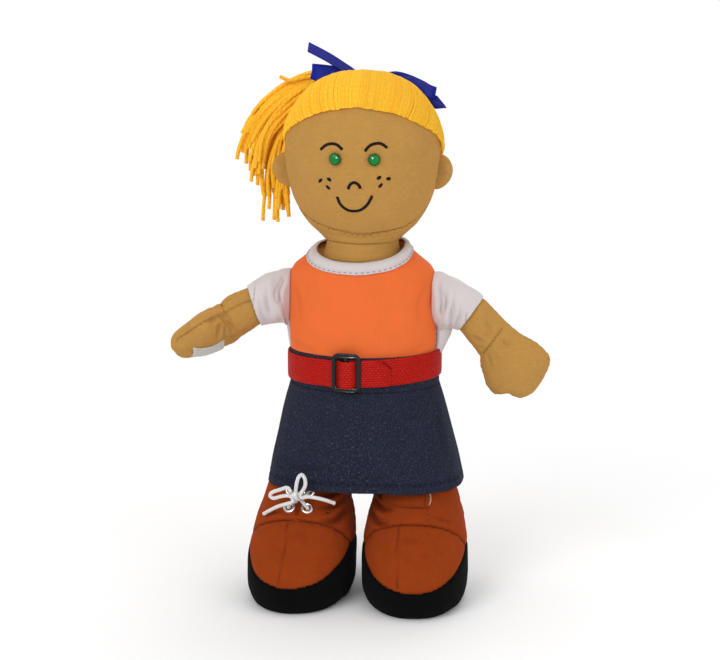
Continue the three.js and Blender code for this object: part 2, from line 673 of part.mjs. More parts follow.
function makePonytail(ballZ) {
  const centres = ponytailStations.map(([x, y, h]) => new THREE.Vector3(x, y, ballZ + h));
  const rings = centres.map((centre, i) => {
    const before = centres[Math.max(i - 1, 0)];
    const after = centres[Math.min(i + 1, centres.length - 1)];
    const along = after.clone().sub(before).normalize();
    const wide = new THREE.Vector3().crossVectors(along, new THREE.Vector3(0, 1, 0)).normalize();
    const thick = new THREE.Vector3().crossVectors(wide, along).normalize();
    const [, , , halfWidth, halfThickness] = ponytailStations[i];
    return oval(centre, wide, thick, halfWidth, halfThickness, ponytailSides);
  });
  const clearOfHead = grownHead(hair.gap + hair.thickness + seamGap, ballZ);
  const bunch = loft(rings).subtract(clearOfHead);
  const [kx, ky, kh] = ribbon.knot;
  const knotCentre = [kx, ky, ballZ + kh];
  const knot = box(ribbon.knotSize, knotCentre);
  const knotRoom = box(ribbon.knotSize.map((size) => size + 2 * seamGap), knotCentre);
  const strips = ribbonTies.map((tie) => ribbonStrip(tie, ballZ));
  const bow = strips.reduce((sum, strip) => sum.add(strip), knot).subtract(clearOfHead);
  const room = strips.reduce((sum, strip) => sum.add(strip), knotRoom);
  add('hair_ribbon', bow, blueSatin);
  add('ponytail', mainBody(bunch.subtract(room)), yellowYarn);
}

// Arms

// Directions along the upper arm and the forearm, with the stitch line's and the palm's
function armFrames({ side, drop, forward, twist, lift }) {
  const shoulder = new THREE.Vector3(side * shoulderX, 0, hipZ + shoulderZ);
  const yaw = new THREE.Quaternion().setFromAxisAngle(up, -side * degrees(forward));
  const fallen = new THREE.Vector3(side * Math.cos(degrees(drop)), 0, -Math.sin(degrees(drop)));
  const along = fallen.applyQuaternion(yaw);
  const back = new THREE.Vector3(0, 1, 0).applyQuaternion(yaw);
  const rise = new THREE.Vector3().crossVectors(back, along).normalize();
  if (rise.z < 0) {
    rise.negate();
  }
  const turn = (share) => {
    const spin = new THREE.Quaternion().setFromAxisAngle(along, -side * degrees(twist * share));
    return { across: rise.clone().applyQuaternion(spin), palm: back.clone().applyQuaternion(spin) };
  };
  const { across, palm } = turn(1);
  const elbow = shoulder.clone().addScaledVector(along, upperArmLength);
  const bend = new THREE.Quaternion().setFromAxisAngle(palm, side * degrees(thumbBend));
  const raise = new THREE.Quaternion().setFromAxisAngle(across, -side * degrees(lift));
  const foreAlong = along.clone().applyQuaternion(bend).applyQuaternion(raise);
  const forePalm = palm.clone().applyQuaternion(raise);
  const foreAcross = across.clone().applyQuaternion(bend);
  return { side, shoulder, along, rise, back, turn, across, palm, elbow, foreAlong, foreAcross, forePalm };
}

function armSection(centre, across, palm, low, high, halfThickness) {
  const middle = centre.clone().addScaledVector(across, (low + high) / 2);
  return oval(middle, across, palm, (high - low) / 2, halfThickness, armSides, armSquareness);
}

// Half-space on the far side of the elbow's sewn faces, as a wedge with its edge on the stitch line
function elbowWedge(frames, toward, apart) {
  const reach = 40;
  const far = 160;
  const halfWidth = 60;
  const slope = Math.tan(degrees(elbowFaceAngle));
  const edge = frames.elbow.clone().addScaledVector(toward, apart);
  const corners = [[0, 0], [reach / slope, reach], [far, reach], [far, -reach], [reach / slope, -reach]];
  const ring = (offset) => corners.map(([along, palm]) => edge.clone()
    .addScaledVector(toward, along)
    .addScaledVector(frames.palm, palm)
    .addScaledVector(frames.across, offset));
  return loft([ring(-halfWidth), ring(halfWidth)]);
}

function mittenShape(frames, offset) {
  const { elbow, foreAlong, foreAcross, forePalm, along, across, palm } = frames;
  const start = elbow.clone().addScaledVector(along, -elbowOverrun.mitten);
  const startHalfWidth = elbowHalfWidth + offset;
  const rows = [];
  rows.push(armSection(start, across, palm, -startHalfWidth, startHalfWidth, elbowHalfThickness + offset));
  for (const [distance, low, high, half] of mittenStations) {
    const centre = elbow.clone().addScaledVector(foreAlong, distance);
    rows.push(armSection(centre, foreAcross, forePalm, low - offset, high + offset, half + offset));
  }
  return loft(rows);
}

function makeArm(name) {
  const frames = armFrames(arms[name]);
  const { shoulder, along, turn, elbow, foreAlong, foreAcross, forePalm } = frames;
  // The end ring at the seam is upright, so that the arm swings about one straight line
  const levelOut = along.clone().setZ(0).normalize();
  const upright = (distance) => Math.max(0, 1 - distance / leanDistance);
  const rings = upperArmStations.map(([distance, halfWidth, halfThickness], i) => {
    const { across, palm } = turn(Math.max(0, i - 1) / (upperArmStations.length - 1));
    const direction = along.clone().lerp(levelOut, upright(distance)).normalize();
    const tilt = new THREE.Quaternion().setFromUnitVectors(along, direction);
    const centre = shoulder.clone().addScaledVector(i === 0 ? levelOut : along, distance);
    const [wide, thick] = [across, palm].map((axis) => axis.clone().applyQuaternion(tilt));
    return armSection(centre, wide, thick, -halfWidth, halfWidth, halfThickness);
  });
  const { across: stitch, palm: face } = turn(1);
  const end = elbow.clone().addScaledVector(along, elbowOverrun.arm);
  rings.push(armSection(end, stitch, face, -elbowHalfWidth, elbowHalfWidth, elbowHalfThickness));
  const inward = along.clone().negate();
  const upperArm = loft(rings).intersect(elbowWedge(frames, inward, elbowGap));
  add(`${name}_upper_arm`, upperArm, skinCloth);

  const outward = along.clone();
  add(`${name}_hand`, mittenShape(frames, 0).intersect(elbowWedge(frames, outward, elbowGap)), skinCloth);

  const patchMiddle = elbow.clone().addScaledVector(foreAlong, (palmPatch.from + palmPatch.to) / 2);
  const patchBlock = loft([0, palmPatch.reach].map((height) => {
    const halfLength = (palmPatch.to - palmPatch.from) / 2;
    return [[-1, -1], [1, -1], [1, 1], [-1, 1]].map(([p, q]) => patchMiddle.clone()
      .addScaledVector(foreAlong, p * halfLength)
      .addScaledVector(foreAcross, q * palmPatch.halfWidth)
      .addScaledVector(forePalm, height));
  }));
  const patch = patchBlock.intersect(mittenShape(frames, seamGap + palmPatch.thickness));
  add(`${name}_palm_patch`, patch.subtract(mittenShape(frames, seamGap)), whiteLoopTape);

  const seamOut = new THREE.Vector3(frames.side, 0, 0);
  const sleeveWall = (inset, reach) => sleeveStations.map(([distance, halfHeight, halfDepth], i) => {
    const ends = atEnds(i, sleeveStations.length, -reach, reach);
    const share = THREE.MathUtils.clamp((distance / leanDistance) * sleeveLeanRate, 0, 1);
    const direction = seamOut.clone().lerp(along, share).normalize();
    const tall = up.clone().addScaledVector(direction, -up.dot(direction)).normalize();
    const deep = new THREE.Vector3().crossVectors(tall, direction).normalize();
    const centre = shoulder.clone().addScaledVector(distance > 1 ? along : seamOut, distance);
    centre.addScaledVector(direction, ends);
    return oval(centre, tall, deep, halfHeight - inset, halfDepth - inset, armSides);
  });
  const sleeve = loft(sleeveWall(0, 0)).subtract(loft(sleeveWall(knitThickness, 2 * seamGap)));
  const insideTop = torsoShape(shirtOutside + seamGap, topHemHeight, torsoTop);
  add(`${name}_sleeve`, sleeve.subtract(insideTop), whiteJersey);
}

// Legs and boots, built for the doll's right and left in each boot's own frame

function makeLeg(name, side) {
  const fullDepthZ = hipZ - (legRadius - legHip.halfDepth) / Math.tan(degrees(legWedge));
  const shaft = (z, x) => levelOval(z, legRadius, legRadius, legSides, 2, side * x);
  const rings = [levelOval(hipZ - hipGap, legHip.halfWidth, legHip.halfDepth, legSides, 2, side * legHip.x)];
  rings.push(shaft(fullDepthZ, footX - legSpread), shaft(legStraightZ, footX), shaft(legFootZ, footX));
  add(`${name}_leg`, loft(rings), skinCloth);
}

function bootShape(offset) {
  return loft(bootStations.map(([z, front, back, halfWidth], i) => {
    const y = (front + back) / 2;
    const halfLength = (back - front) / 2;
    const grow = atEnds(i, bootStations.length, 0, Math.max(0, offset));
    return levelOval(z + grow, halfWidth + offset, halfLength + offset, bootSides, bootSquareness, 0, y);
  }));
}

function bootSocket(bottomZ) {
  const middle = new THREE.Vector3(0, 0, bottomZ + hipZ / 2);
  return cylinder(legRadius + wrapGap, hipZ, middle, up, legSides);
}

function soleRegion(gap) {
  const slope = (sole.heelZ - sole.toeZ) / (sole.sideY - sole.toeY);
  const beyond = 30;
  const frontY = sole.toeY - beyond;
  const frontZ = sole.toeZ - beyond * slope;
  const outline = [
    [frontY, -beyond], [frontY, frontZ + gap], [sole.sideY, sole.heelZ + gap],
    [bootReach, sole.heelZ + gap], [bootReach, -beyond],
  ];
  return sideProfile(outline, bootReach);
}

function toeRegion(gap) {
  const run = toeCap.sideY - toeCap.topY;
  const fall = toeCap.topZ - toeCap.sideZ;
  const at = (t) => [toeCap.topY + run * t + gap, toeCap.topZ - fall * t];
  const [above, below] = [at(-1), at(1.5)];
  const front = -2 * bootReach;
  return sideProfile([above, below, [front, below[1]], [front, above[1]]], bootReach);
}

function slitRegion(gap) {
  const tip = slit.tipHalfWidth + gap;
  const top = slit.halfWidth + gap;
  const bottomZ = slit.bottomZ - gap;
  const topZ = slit.topZ + 5;
  const outline = [[-tip, bottomZ], [tip, bottomZ], [top, topZ], [-top, topZ]];
  return frontProfile(outline, -bootReach, 0);
}

// A point on the front of the boot, with the direction out of it
function bootFront(x, z) {
  const row = (height) => {
    const [, front, back, halfWidth] = stationAt(bootStations, height);
    const halfLength = (back - front) / 2;
    const share = (1 - Math.abs(x / halfWidth) ** bootSquareness) ** (1 / bootSquareness);
    return (front + back) / 2 - halfLength * share;
  };
  const y = row(z);
  const step = 2;
  const slope = (row(z + step) - row(z - step)) / (2 * step);
  const [, front, back, halfWidth] = stationAt(bootStations, z);
  const sideways = (x / halfWidth ** 2) * ((back - front) / 2);
  return { point: new THREE.Vector3(x, y, z), outward: new THREE.Vector3(sideways, -1, slope).normalize() };
}

function bootGroup(side) {
  const group = new THREE.Group();
  group.position.x = side * footX;
  group.rotation.z = side * degrees(toesOut);
  doll.add(group);
  return group;
}

function bootParts(name, group) {
  const outer = bootShape(0);
  add(`${name}_boot_sole`, outer.intersect(soleRegion(0)), blackFelt, group);
  const upper = outer.subtract(soleRegion(seamGap)).subtract(bootSocket(legFootZ - wrapGap));
  add(`${name}_boot_toe_cap`, upper.intersect(toeRegion(0)), rustSuede, group);
  return upper.subtract(toeRegion(seamGap));
}

function makeEyelet(name, x, z, group) {
  const { point, outward } = bootFront(x, z);
  const { outer, bore, barrel, flange, edge, depth, sides } = eyelet;
  const ring = [[bore, -depth], [barrel, -depth], [barrel, 0], [outer, 0], [outer - edge, flange]];
  ring.push([bore + edge, flange], [bore, -depth]);
  add(name, revolve(ring, point, outward, sides), steel, group);
  const hole = cylinder(barrel + seamGap, 2 * (depth + seamGap), point, outward, sides);
  const seatLength = 10;
  const seatMiddle = point.clone().addScaledVector(outward, seatLength / 2 - seamGap);
  return hole.add(cylinder(outer + seamGap, seatLength, seatMiddle, outward, sides));
}

function makeRightBoot() {
  const group = bootGroup(-1);
  let quarter = bootParts('right', group).subtract(slitRegion(seamGap));
  const tongue = bootShape(-slit.recess).intersect(slitRegion(0)).subtract(bootSocket(legFootZ));
  add('right_boot_tongue', tongue.subtract(toeRegion(seamGap)), rustSuede, group);
  let count = 1;
  for (const z of [eyelet.lowZ, eyelet.highZ]) {
    for (const x of [-eyelet.x, eyelet.x]) {
      quarter = quarter.subtract(makeEyelet(`eyelet_${count}`, x, z, group));
      count += 1;
    }
  }
  add('right_boot_quarter', quarter, rustSuede, group);
  makeLaces(group);
}

// Points above an eyelet's middle, along its own axis
function aboveEyelet(side, z) {
  const { point, outward } = bootFront(side * eyelet.x, z);
  return (distance) => point.clone().addScaledVector(outward, distance).toArray();
}

function makeLaces(group) {
  const knot = new THREE.SphereGeometry(1, 12, 8).scale(...laceKnot.size).translate(...laceKnot.at);
  add('lace_knot', solidOf(knot), whiteLace, group);
  for (const [name, route] of Object.entries(laceRoutes)) {
    add(name, tube(route, laceRadius, laceRingCount), whiteLace, group);
  }
  const middle = bootFront(0, eyelet.lowZ + laceCross.riseZ);
  middle.point.addScaledVector(middle.outward, laceRadius - slit.recess + laceCross.clear);
  const [, my, mz] = middle.point.toArray();
  const [kx, ky, kz] = laceKnot.at;
  for (const [letter, side] of [['a', 1], ['b', -1]]) {
    const low = aboveEyelet(side, eyelet.lowZ);
    const cross = [low(-laceInside), low(laceLift.low)];
    const crossY = low(laceCross.liftY)[1] - laceCross.dropY;
    cross.push([side * laceCross.x, crossY, eyelet.lowZ + laceCross.riseZ]);
    const crossEnd = side * (laceRadius + laceCross.apart);
    cross.push([crossEnd, my - laceCross.sinkY, mz + laceCross.spreadZ * side]);
    add(`lace_cross_${letter}`, tube(cross, laceRadius, shortLaceRingCount), whiteLace, group);
    const high = aboveEyelet(side, eyelet.highZ);
    const rise = [high(-laceInside), high(laceLift.high)];
    rise.push([side * laceRise.x, ky + laceRise.backY, kz - laceRise.dropZ]);
    const riseEndY = ky + laceKnot.size[1] + laceRise.endGap;
    rise.push([kx + side * laceRise.endX, riseEndY, kz - laceRise.endDropZ]);
    add(`lace_rise_${letter}`, tube(rise, laceRadius, shortLaceRingCount), whiteLace, group);
  }
}

function makeLeftBoot() {
  const group = bootGroup(1);
  add('left_boot_quarter', bootParts('left', group), rustSuede, group);
  const band = ({ fromX, toX, width, thickness }, inside) => {
    const block = box([toX - fromX, bootReach, width], [(fromX + toX) / 2, -bootReach / 2, strap.z]);
    return bootShape(inside + thickness).subtract(bootShape(inside)).intersect(block);
  };
  add('left_boot_strap_patch', band(strapPatch, seamGap), whiteLoopTape, group);
  add('left_boot_strap', band(strap, seamGap + strapPatch.thickness + seamGap), rustSuede, group);
}

const ballZ = makeNeck();
makeTorso();
makeTop();
makeSkirt();
makeBelt();
makeHead(ballZ);
makePonytail(ballZ);
makeArm('right');
makeArm('left');
makeLeg('right', -1);
makeLeg('left', 1);
makeRightBoot();
makeLeftBoot();

// The origin is on the floor, below the middle of the doll's bounding box
const bounds = new THREE.Box3().setFromObject(doll);
const middle = bounds.getCenter(new THREE.Vector3());
doll.position.set(-middle.x, -middle.y, -bounds.min.z);

export default doll;
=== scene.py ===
"""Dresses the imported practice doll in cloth, yarn, webbing, lace and plastic, in its CAD parts' frame."""

import math
import random

import bmesh
import bpy
import numpy as np
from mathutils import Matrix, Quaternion, Vector, noise
from mathutils.bvhtree import BVHTree


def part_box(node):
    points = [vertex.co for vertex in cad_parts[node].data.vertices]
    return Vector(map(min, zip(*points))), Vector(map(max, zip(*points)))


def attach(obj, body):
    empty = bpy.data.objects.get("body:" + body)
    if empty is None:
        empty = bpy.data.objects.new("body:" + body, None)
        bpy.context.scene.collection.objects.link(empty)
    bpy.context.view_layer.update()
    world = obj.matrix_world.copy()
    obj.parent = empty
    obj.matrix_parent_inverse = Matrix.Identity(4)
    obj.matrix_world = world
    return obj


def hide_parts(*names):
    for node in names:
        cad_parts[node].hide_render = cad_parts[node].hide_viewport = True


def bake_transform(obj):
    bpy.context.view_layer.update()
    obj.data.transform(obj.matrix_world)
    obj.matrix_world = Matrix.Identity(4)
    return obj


bl_info = {
    "name": "Fastening practice doll",
    "version": (1, 0, 0),
    "blender": (4, 5, 0),
    "location": "View3D > Sidebar > Doll",
    "description": "Builds the cloth, yarn, webbing and laces of a practice doll over its CAD parts",
    "category": "Object",
}

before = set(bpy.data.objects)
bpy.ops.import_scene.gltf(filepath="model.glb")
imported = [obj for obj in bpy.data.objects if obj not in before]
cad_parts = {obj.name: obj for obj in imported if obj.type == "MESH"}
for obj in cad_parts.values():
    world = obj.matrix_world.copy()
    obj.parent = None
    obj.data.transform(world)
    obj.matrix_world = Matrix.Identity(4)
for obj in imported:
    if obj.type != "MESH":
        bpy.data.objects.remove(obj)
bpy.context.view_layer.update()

# The doll's own frame is in millimetres, with its axis through the neck
NECK_LOW, NECK_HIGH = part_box("neck")
ORIGIN = np.array([(NECK_LOW[0] + NECK_HIGH[0]) / 2, (NECK_LOW[1] + NECK_HIGH[1]) / 2, 0.0])
MM = 0.001

# Torso, measured up from the hip seam: height, half width, half depth
HIP_Z = 140.0
TORSO = [
    (0, 47, 0.2), (7, 49.2, 15), (15, 51.4, 31), (24, 52.4, 39), (44, 52.9, 40.6), (66, 53.9, 42),
    (84, 53.7, 41.5), (95, 53.2, 39), (103, 52.2, 36.5), (108, 49.5, 34.8), (113, 43.5, 33),
    (118, 37.5, 31.3), (124, 31.5, 29.3),
]
SHIRT_INSIDE = 0.4
SHIRT_OUTSIDE = 1.6
TOP_HEM_HEIGHT = 17.0
NECKLINE_HEIGHT = 116.5
NECKLINE_TILT = math.radians(9)
NECKLINE_SHOULDER_RISE = 5.0
NECKLINE_LEAN = 0.03
BINDING_WIDTH = 7.5
GUSSET_EDGE_X = 54.0
GUSSET_TOP = 226.0
WAIST = (52.94, 40.69)
WAIST_OFFSET = 3.4
WAIST_BAND = (20.0, 46.0)
DENIM = 1.4
HEM_Z = 84.0
SKIRT = [(0, 0, 0, 2), (0.19, 4.2, 0.3, 2.1), (0.5, 9.8, 1, 2.4), (0.78, 14.6, 2.2, 2.8), (1, 17.2, 2.8, 3)]

# Belt and slider
BELT_Z = 163.5
BELT_WIDTH = 20.0
WEBBING = 1.5
SLIDER_ANGLE = -7.0
SLIDER = {"width": 22.0, "height": 29.5, "thickness": 2.0, "side": 3.4, "rail": 3.7, "bar": 3.0}
BELT_TILT = 0.034
WAIST_X = 1.5
HEM_X = 2.4
FREE_END_ANGLE = 25.0

# Head, measured up from the middle of the neck's ball: height, half width
BALL_Z = 262.0
NECK_RADIUS = 27.0
HEAD_DEPTH = 0.86
HEAD = [
    (4, 24), (6, 27.6), (9, 30.6), (13, 35.2), (18, 40.4), (28, 47.2), (38, 51.8), (48, 54.7), (58, 56.5),
    (71, 57.5), (83, 56), (93, 53), (103, 47.5), (113, 39.5), (120, 30), (125, 17), (126.5, 5),
]
HAIRLINE = [(0, 107), (30, 103), (60, 92), (90, 78), (115, 53), (140, 35), (180, 28)]
TIE = np.array([-3.0, 37.0, BALL_Z + 117])
PONYTAIL = [
    (-3, 38, 114, 7, 6), (-17, 45, 117, 11, 8), (-39, 46, 112, 15, 11), (-60, 42, 99, 19, 13),
    (-76, 36, 80, 22, 14), (-82, 31, 58, 24, 13), (-81, 28, 36, 24, 11), (-78, 27, 18, 22, 9),
]
RIBBON_KNOT = np.array([2.0, 33.0, BALL_Z + 120.5])
RIBBON_HALF_WIDTHS = {"left_loop": 4.7, "right_loop": 5.4, "left_tail": 4.7, "tall_tail": 3.5}
STRAY_STRANDS = [
    [(-34, 40, 122), (-50, 38, 121), (-60, 36, 119), (-67, 34, 122)],
    [(-44, 40, 114), (-62, 38, 108), (-80, 34, 92), (-91, 33, 80)],
]
RIBBON_TIES = {
    "left_loop": ((0.15, 0.15, 1), [
        (5, 33, 121), (22, 33, 122), (38, 29, 117), (46, 27, 113),
        (51, 29, 111), (46, 32, 112), (30, 34, 118), (6, 34, 122),
    ]),
    "right_loop": ((0.1, 0.3, 0.95), [
        (0, 31, 118), (-14, 27, 119), (-28, 26, 122), (-38, 27, 125), (-42, 31, 126.5),
        (-37, 36, 126), (-20, 37, 124), (0, 34, 121),
    ]),
    "left_tail": ((0.36, 0.1, 0.93), [(5, 34, 121), (24, 34.5, 116), (42, 32, 108), (60, 29, 101)]),
    "tall_tail": ((0.55, 0.15, 0.83), [
        (-2, 34, 119), (-16, 35, 127.5), (-30, 33.5, 136.5), (-45, 31.5, 144.5),
    ]),
}

# Embroidered face: across and up, in the doll's frame, and each freckle's lean
BROWS = [
    [(-25, 338.7), (-20.6, 342.2), (-16.2, 343.3), (-12.5, 342.5), (-8.9, 339.5)],
    [(7.5, 338.6), (10.7, 342.3), (15.8, 344), (19.3, 343.4), (22.8, 340.7)],
]
NOSE = [(-4.9, 311.1), (-3.4, 314.2), (-0.5, 315.9), (2.5, 314.5), (4.0, 311.6)]
SMILE = [
    (-13, 304.7), (-11.3, 299.8), (-6.6, 295.5), (-1.5, 294.4), (4.2, 295.7), (9.1, 300.2), (12.2, 305.9),
]
FRECKLES = [
    (-25.4, 316.2, 0.55), (-18.7, 317.4, -0.35), (-19.7, 311.5, -0.6), (17.3, 319.3, 0.4),
    (23.9, 318.4, 0.0), (18.3, 313.6, 0.7),
]
CHIN_SEAM = [
    (-52, -4, 296), (-46, -13, 288.5), (-38, -22, 283.5), (-29.7, -26.5, 280.5), (-18.1, -30.7, 277),
    (-9, -32.3, 275.2), (1.2, -32.3, 273.9), (17.8, -29.9, 275.7), (34.4, -20.7, 279.3), (43.7, -10.8, 285.4),
    (50, -4, 294),
]
EAR = {"height": 56.0, "half_height": 13.05, "half_thickness": 4.5, "back": 2.0, "from_middle": 57.27}
EAR_REACH = {"right": 11.0, "left": 9.24}
EYE = {"height": 70.5, "apart": 28.0, "shank": 2.0, "radius": 4.5, "rim": 0.7, "dome": 2.3}

# Arms
SHOULDER = (55.8, 0.0, 223.0)
UPPER_ARM_LENGTH = 52.0
UPPER_ARM = [
    (0.3, 17, 0.8), (10, 16.5, 7.5), (20, 15.5, 12.5), (32, 14.3, 14.4), (42, 15.2, 15), (52, 16, 15),
]
ARM_TWIST = [(0.3, 0), (10, 0), (20, 0.4), (28, 0.8), (34, 0.95), (52, 1)]
MITTEN = [
    (0.3, -16, 16, 15), (7, -18.6, 18.2, 15), (16, -21.6, 21.8, 15), (25, -25.4, 25, 14),
    (31, -25.6, 25.8, 12.6), (35, -22.4, 25.6, 11.6), (38, -16.8, 23.8, 10.8), (42, -14.6, 19.5, 9.4),
    (46, -11.8, 11.4, 6.8), (48.6, -7, 3, 3),
]
PALM_PATCH = {"from": 14.0, "to": 37.0, "half_width": 9.0, "thickness": 1.2}
THUMB_BEND = 14.0
ARMS = {"right": (-1, 31.0, 20.0, 110.0, 9.0), "left": (1, 36.0, 0.0, 0.0, 0.0)}
ARM_LIFT = {
    "right": [(-4, 0), (0, 0), (14, 5.5), (31, 9.4), (44, 10.6), (52, 10.4), (64, 8.6), (104, 7.5)],
    "left": [(-4, 0), (0, 0), (14, 3.0), (31, 8.0), (42, 5.0), (52, 1.6), (64, 0), (104, 0)],
}
SEAM_TURN = {"right": math.radians(20), "left": 0.0}
CUFF_TURN = {"right": 0.6, "left": 1.0}
SLEEVE = [
    (-4, 20.5, 13.5), (-1, 21, 16.5), (4, 21, 19.2), (11, 20, 20.2), (19, 18.4, 19.4), (26, 17, 18),
    (31, 15.9, 17),
]

# Legs: height, half width, half depth, distance from the middle. Boots, in their own frame: height, front,
# back, half width
FOOT_X = 41.5
TOES_OUT = math.radians(3)
LEG = [
    (46.2, 25, 25, 41.5), (96, 25, 25, 41.5), (104.6, 25, 24.8, 38.7), (118, 23.5, 15.5, 33.5),
    (130, 21.5, 7, 29.6), (139.5, 19.5, 0.4, 27),
]
BOOT = [
    (0, -80, 28, 34), (3, -83.5, 30.5, 37), (12, -87, 33, 39.5), (22, -86.5, 33, 40), (30, -83.5, 33, 40),
    (40, -77, 33, 39.5), (50, -66, 32.5, 38), (58, -55, 32, 36.5), (66, -45, 31.5, 34), (73, -38.5, 31, 32),
    (80, -34, 30.5, 29.8), (92, -29.6, 29.6, 26.9),
]
BOOT_SQUARENESS = 2.15
BOOT_TOP = 92.0
SOLE_LINE = ((-82.0, 22.5), (-35.0, 40.0))
CAP_LINE = ((-50.0, 64.0), (-18.0, 24.0))
SLIT = {"bottom": 65.2, "tip": 0.9, "top": 5.8}
EYELETS = [(-6.9, 69.5), (6.9, 69.5), (-6.9, 80.5), (6.9, 80.5)]
EYELET = {"outer": 4.7, "bore": 2.3, "depth": 3.0}
STRAP = {"z": 77.5, "width": 10.0, "thickness": 1.6, "inside": 1.3, "from": -24.0, "to": 11.0}
STRAP_PATCH = {"z": 77.5, "width": 9.0, "thickness": 0.7, "inside": 0.3, "from": -1.0, "to": 12.0}
LACE_RADIUS = 1.4
LACE_KNOT = ((0.0, -50.5, 81.5), (4.2, 3.2, 3.6))
LACE_A = [
    (0.4, -51.5, 85.6), (1.6, -52.4, 92.5), (3.2, -52.6, 97), (5.4, -52.6, 98.8), (7.6, -52.4, 95.8),
    (7.8, -52, 90.4), (6, -51.8, 86.6), (4.6, -51.6, 84.6), (3.4, -50.6, 82.6), (4.8, -51, 80.6),
    (10, -52.5, 82), (17, -53.2, 81.6), (23, -51.5, 79.8), (29, -47.5, 76.5),
]
LACE_B = [
    (-3.2, -51.6, 84.4), (-5.4, -51.4, 87.8), (-12, -50.4, 85.6), (-18.4, -48, 82.4), (-20, -47, 79.8),
    (-17.6, -47.6, 78), (-11.4, -49.4, 80.2), (-5.6, -51.2, 81.6), (-2.2, -50.8, 80.2), (-2, -52.2, 77.4),
    (-6, -52.4, 75.8), (-13.5, -49.6, 72.4), (-20, -45, 68), (-26.5, -39.5, 62.8),
]

# Folds as lines of points, with the depth and the width of each
NECK_FOLDS = [
    ([(-26, -14, 264.5), (-13, -26.6, 262), (4.4, -29.3, 261.2), (19.5, -22.2, 262.8)], 0.8, 1.4),
    ([(-11, -27.6, 266.5), (6.5, -28.8, 265.8), (21.6, -20.6, 267.5)], 0.5, 1.2),
]
TOP_FOLDS = [
    ([(-50, -18, 236), (-44, -27, 222), (-45, -28, 206)], 0.7, 2.6),
    ([(50, -18, 236), (45, -27, 224), (46, -27, 210)], 0.7, 2.6),
    ([(-52, -12, 196), (-40, -30, 190), (-26, -36, 187)], 0.5, 2.4),
    ([(52, -12, 198), (42, -28, 191), (30, -34, 188)], 0.5, 2.4),
]
SKIRT_FOLDS = [
    ([(-62, -30, 101), (-40, -41, 99.5), (-12, -44, 101.5)], 1.3, 2.6),
    ([(-30, -42, 104.5), (0, -45, 106), (26, -44, 103)], 0.8, 2.4),
    ([(8, -45, 96), (34, -43, 98.5), (58, -33, 97)], 0.9, 2.4),
    ([(-58, -20, 150), (-62, -25, 128), (-66, -28, 108)], 1.0, 4.0),
    ([(57, -20, 150), (62, -25, 128), (66, -28, 108)], 1.0, 4.0),
    ([(-8, -44, 156), (-10, -45, 135), (-6, -46, 116)], 0.6, 5.0),
    ([(60, 20, 140), (40, 42, 120), (10, 46, 108)], 0.9, 3.4),
    ([(-60, 18, 150), (-64, 24, 128), (-66, 30, 104)], 0.9, 4.0),
]
# Sleeve folds run over places out along the arm, and degrees round it from the top towards the front
SLEEVE_FOLDS = [
    ([(3, 30), (6, 75), (5, 140)], 2.2, 2.0), ([(10, 25), (10, 75), (7, 135)], 1.8, 2.0),
    ([(17, 45), (16, 90), (11, 150)], 1.5, 1.9), ([(24, 70), (21, 110), (16, 150)], 1.1, 1.7),
    ([(3, -40), (7, -90), (5, -140)], 1.7, 2.2), ([(14, -60), (13, -110)], 1.2, 2.2),
]
# Boot folds run over the front of the boot, by distance towards the other foot, and height
BOOT_FOLDS = [
    ([(8, 88), (18, 84.5), (27, 86)], 2.6, 2.3), ([(9, 80), (20, 77), (29, 79.5)], 3.0, 2.5),
    ([(15, 70.5), (24, 69), (31, 72)], 2.2, 2.1), ([(18, 61), (28, 60.5), (34, 64)], 2.6, 2.5),
    ([(-13, 67.5), (-22, 63.5), (-29, 60)], 0.9, 1.7), ([(-15, 86), (-22, 83.5), (-26, 84)], 1.2, 2.0),
    ([(4, 63), (9, 62), (14, 60)], 0.8, 1.4), ([(-4, 53.5), (4, 54.5), (12, 53)], 0.5, 2.6),
    ([(-14, 47), (-4, 44.5)], 0.4, 2.6),
]
BOOT_SIDE_FOLDS = ((87, 14), (77, 16), (66, 14), (55, 12))
# Creases at the elbow: place across the arm and length. Creases from the right thumb: distance past the
# elbow and degrees from the edge towards the palm at their far ends
ELBOW_CREASES = ((-0.8, 11), (-0.35, 15), (0.15, 10), (0.6, 14))
THUMB_CREASES = ((1, 38), (6, 50), (13, 52), (20, 40), (1, -6), (22, -12))
BOOT_CENTRE_SEAM = {
    -1: [(-50.3, -49.6, 61.6), (-49.9, -60, 54.5), (-49.8, -69.8, 45.8), (-51.5, -85.1, 20.9)],
    1: [(33.4, -50, 60.5), (33.4, -58.7, 54.7), (34.6, -74, 40), (35.4, -84.7, 25.4)],
}
STRAP_SEAM = [(53.3, -35.6, 74.4), (53.6, -40, 69.8), (53.4, -44.5, 64.8)]

# Camera and studio, in metres and watts
CAMERA = {"lens": 95.25, "sensor": 36.0, "place": (0.1686, -1.3745, 0.500), "down": 12.18, "round": 7.0}
LAMPS = {
    "key": ((-0.9, -1.5, 1.5), 1.1, 15.0), "fill": ((1.4, -1.1, 0.8), 1.4, 6.0),
    "top": ((0.1, 0.5, 1.9), 1.2, 7.0), "back": ((0.3, 1.7, 0.9), 1.4, 8.0),
    "glint": ((-0.05, -1.5, 0.66), 0.42, 32.0),
}
LAMP_AIM = (0, 0, 0.2)
WORLD_LIGHT = 0.62

# What the finishes share: the painted shade in a seam or fold, two whites of paper, the wave texture's
# period at a scale of 1, how its lines waver, and the length of yarn in which its plies go round once
SEAM_SHADE = (0.32, 0.27, 0.26, 1)
PAPER_LOW = (0.96, 0.96, 0.96, 1)
PAPER_HIGH = (0.985, 0.985, 0.985, 1)
WAVE_PERIOD = 0.314
LINES = {"Detail": 1.0, "Detail Scale": 1.5}
YARN_TWIST = 0.005

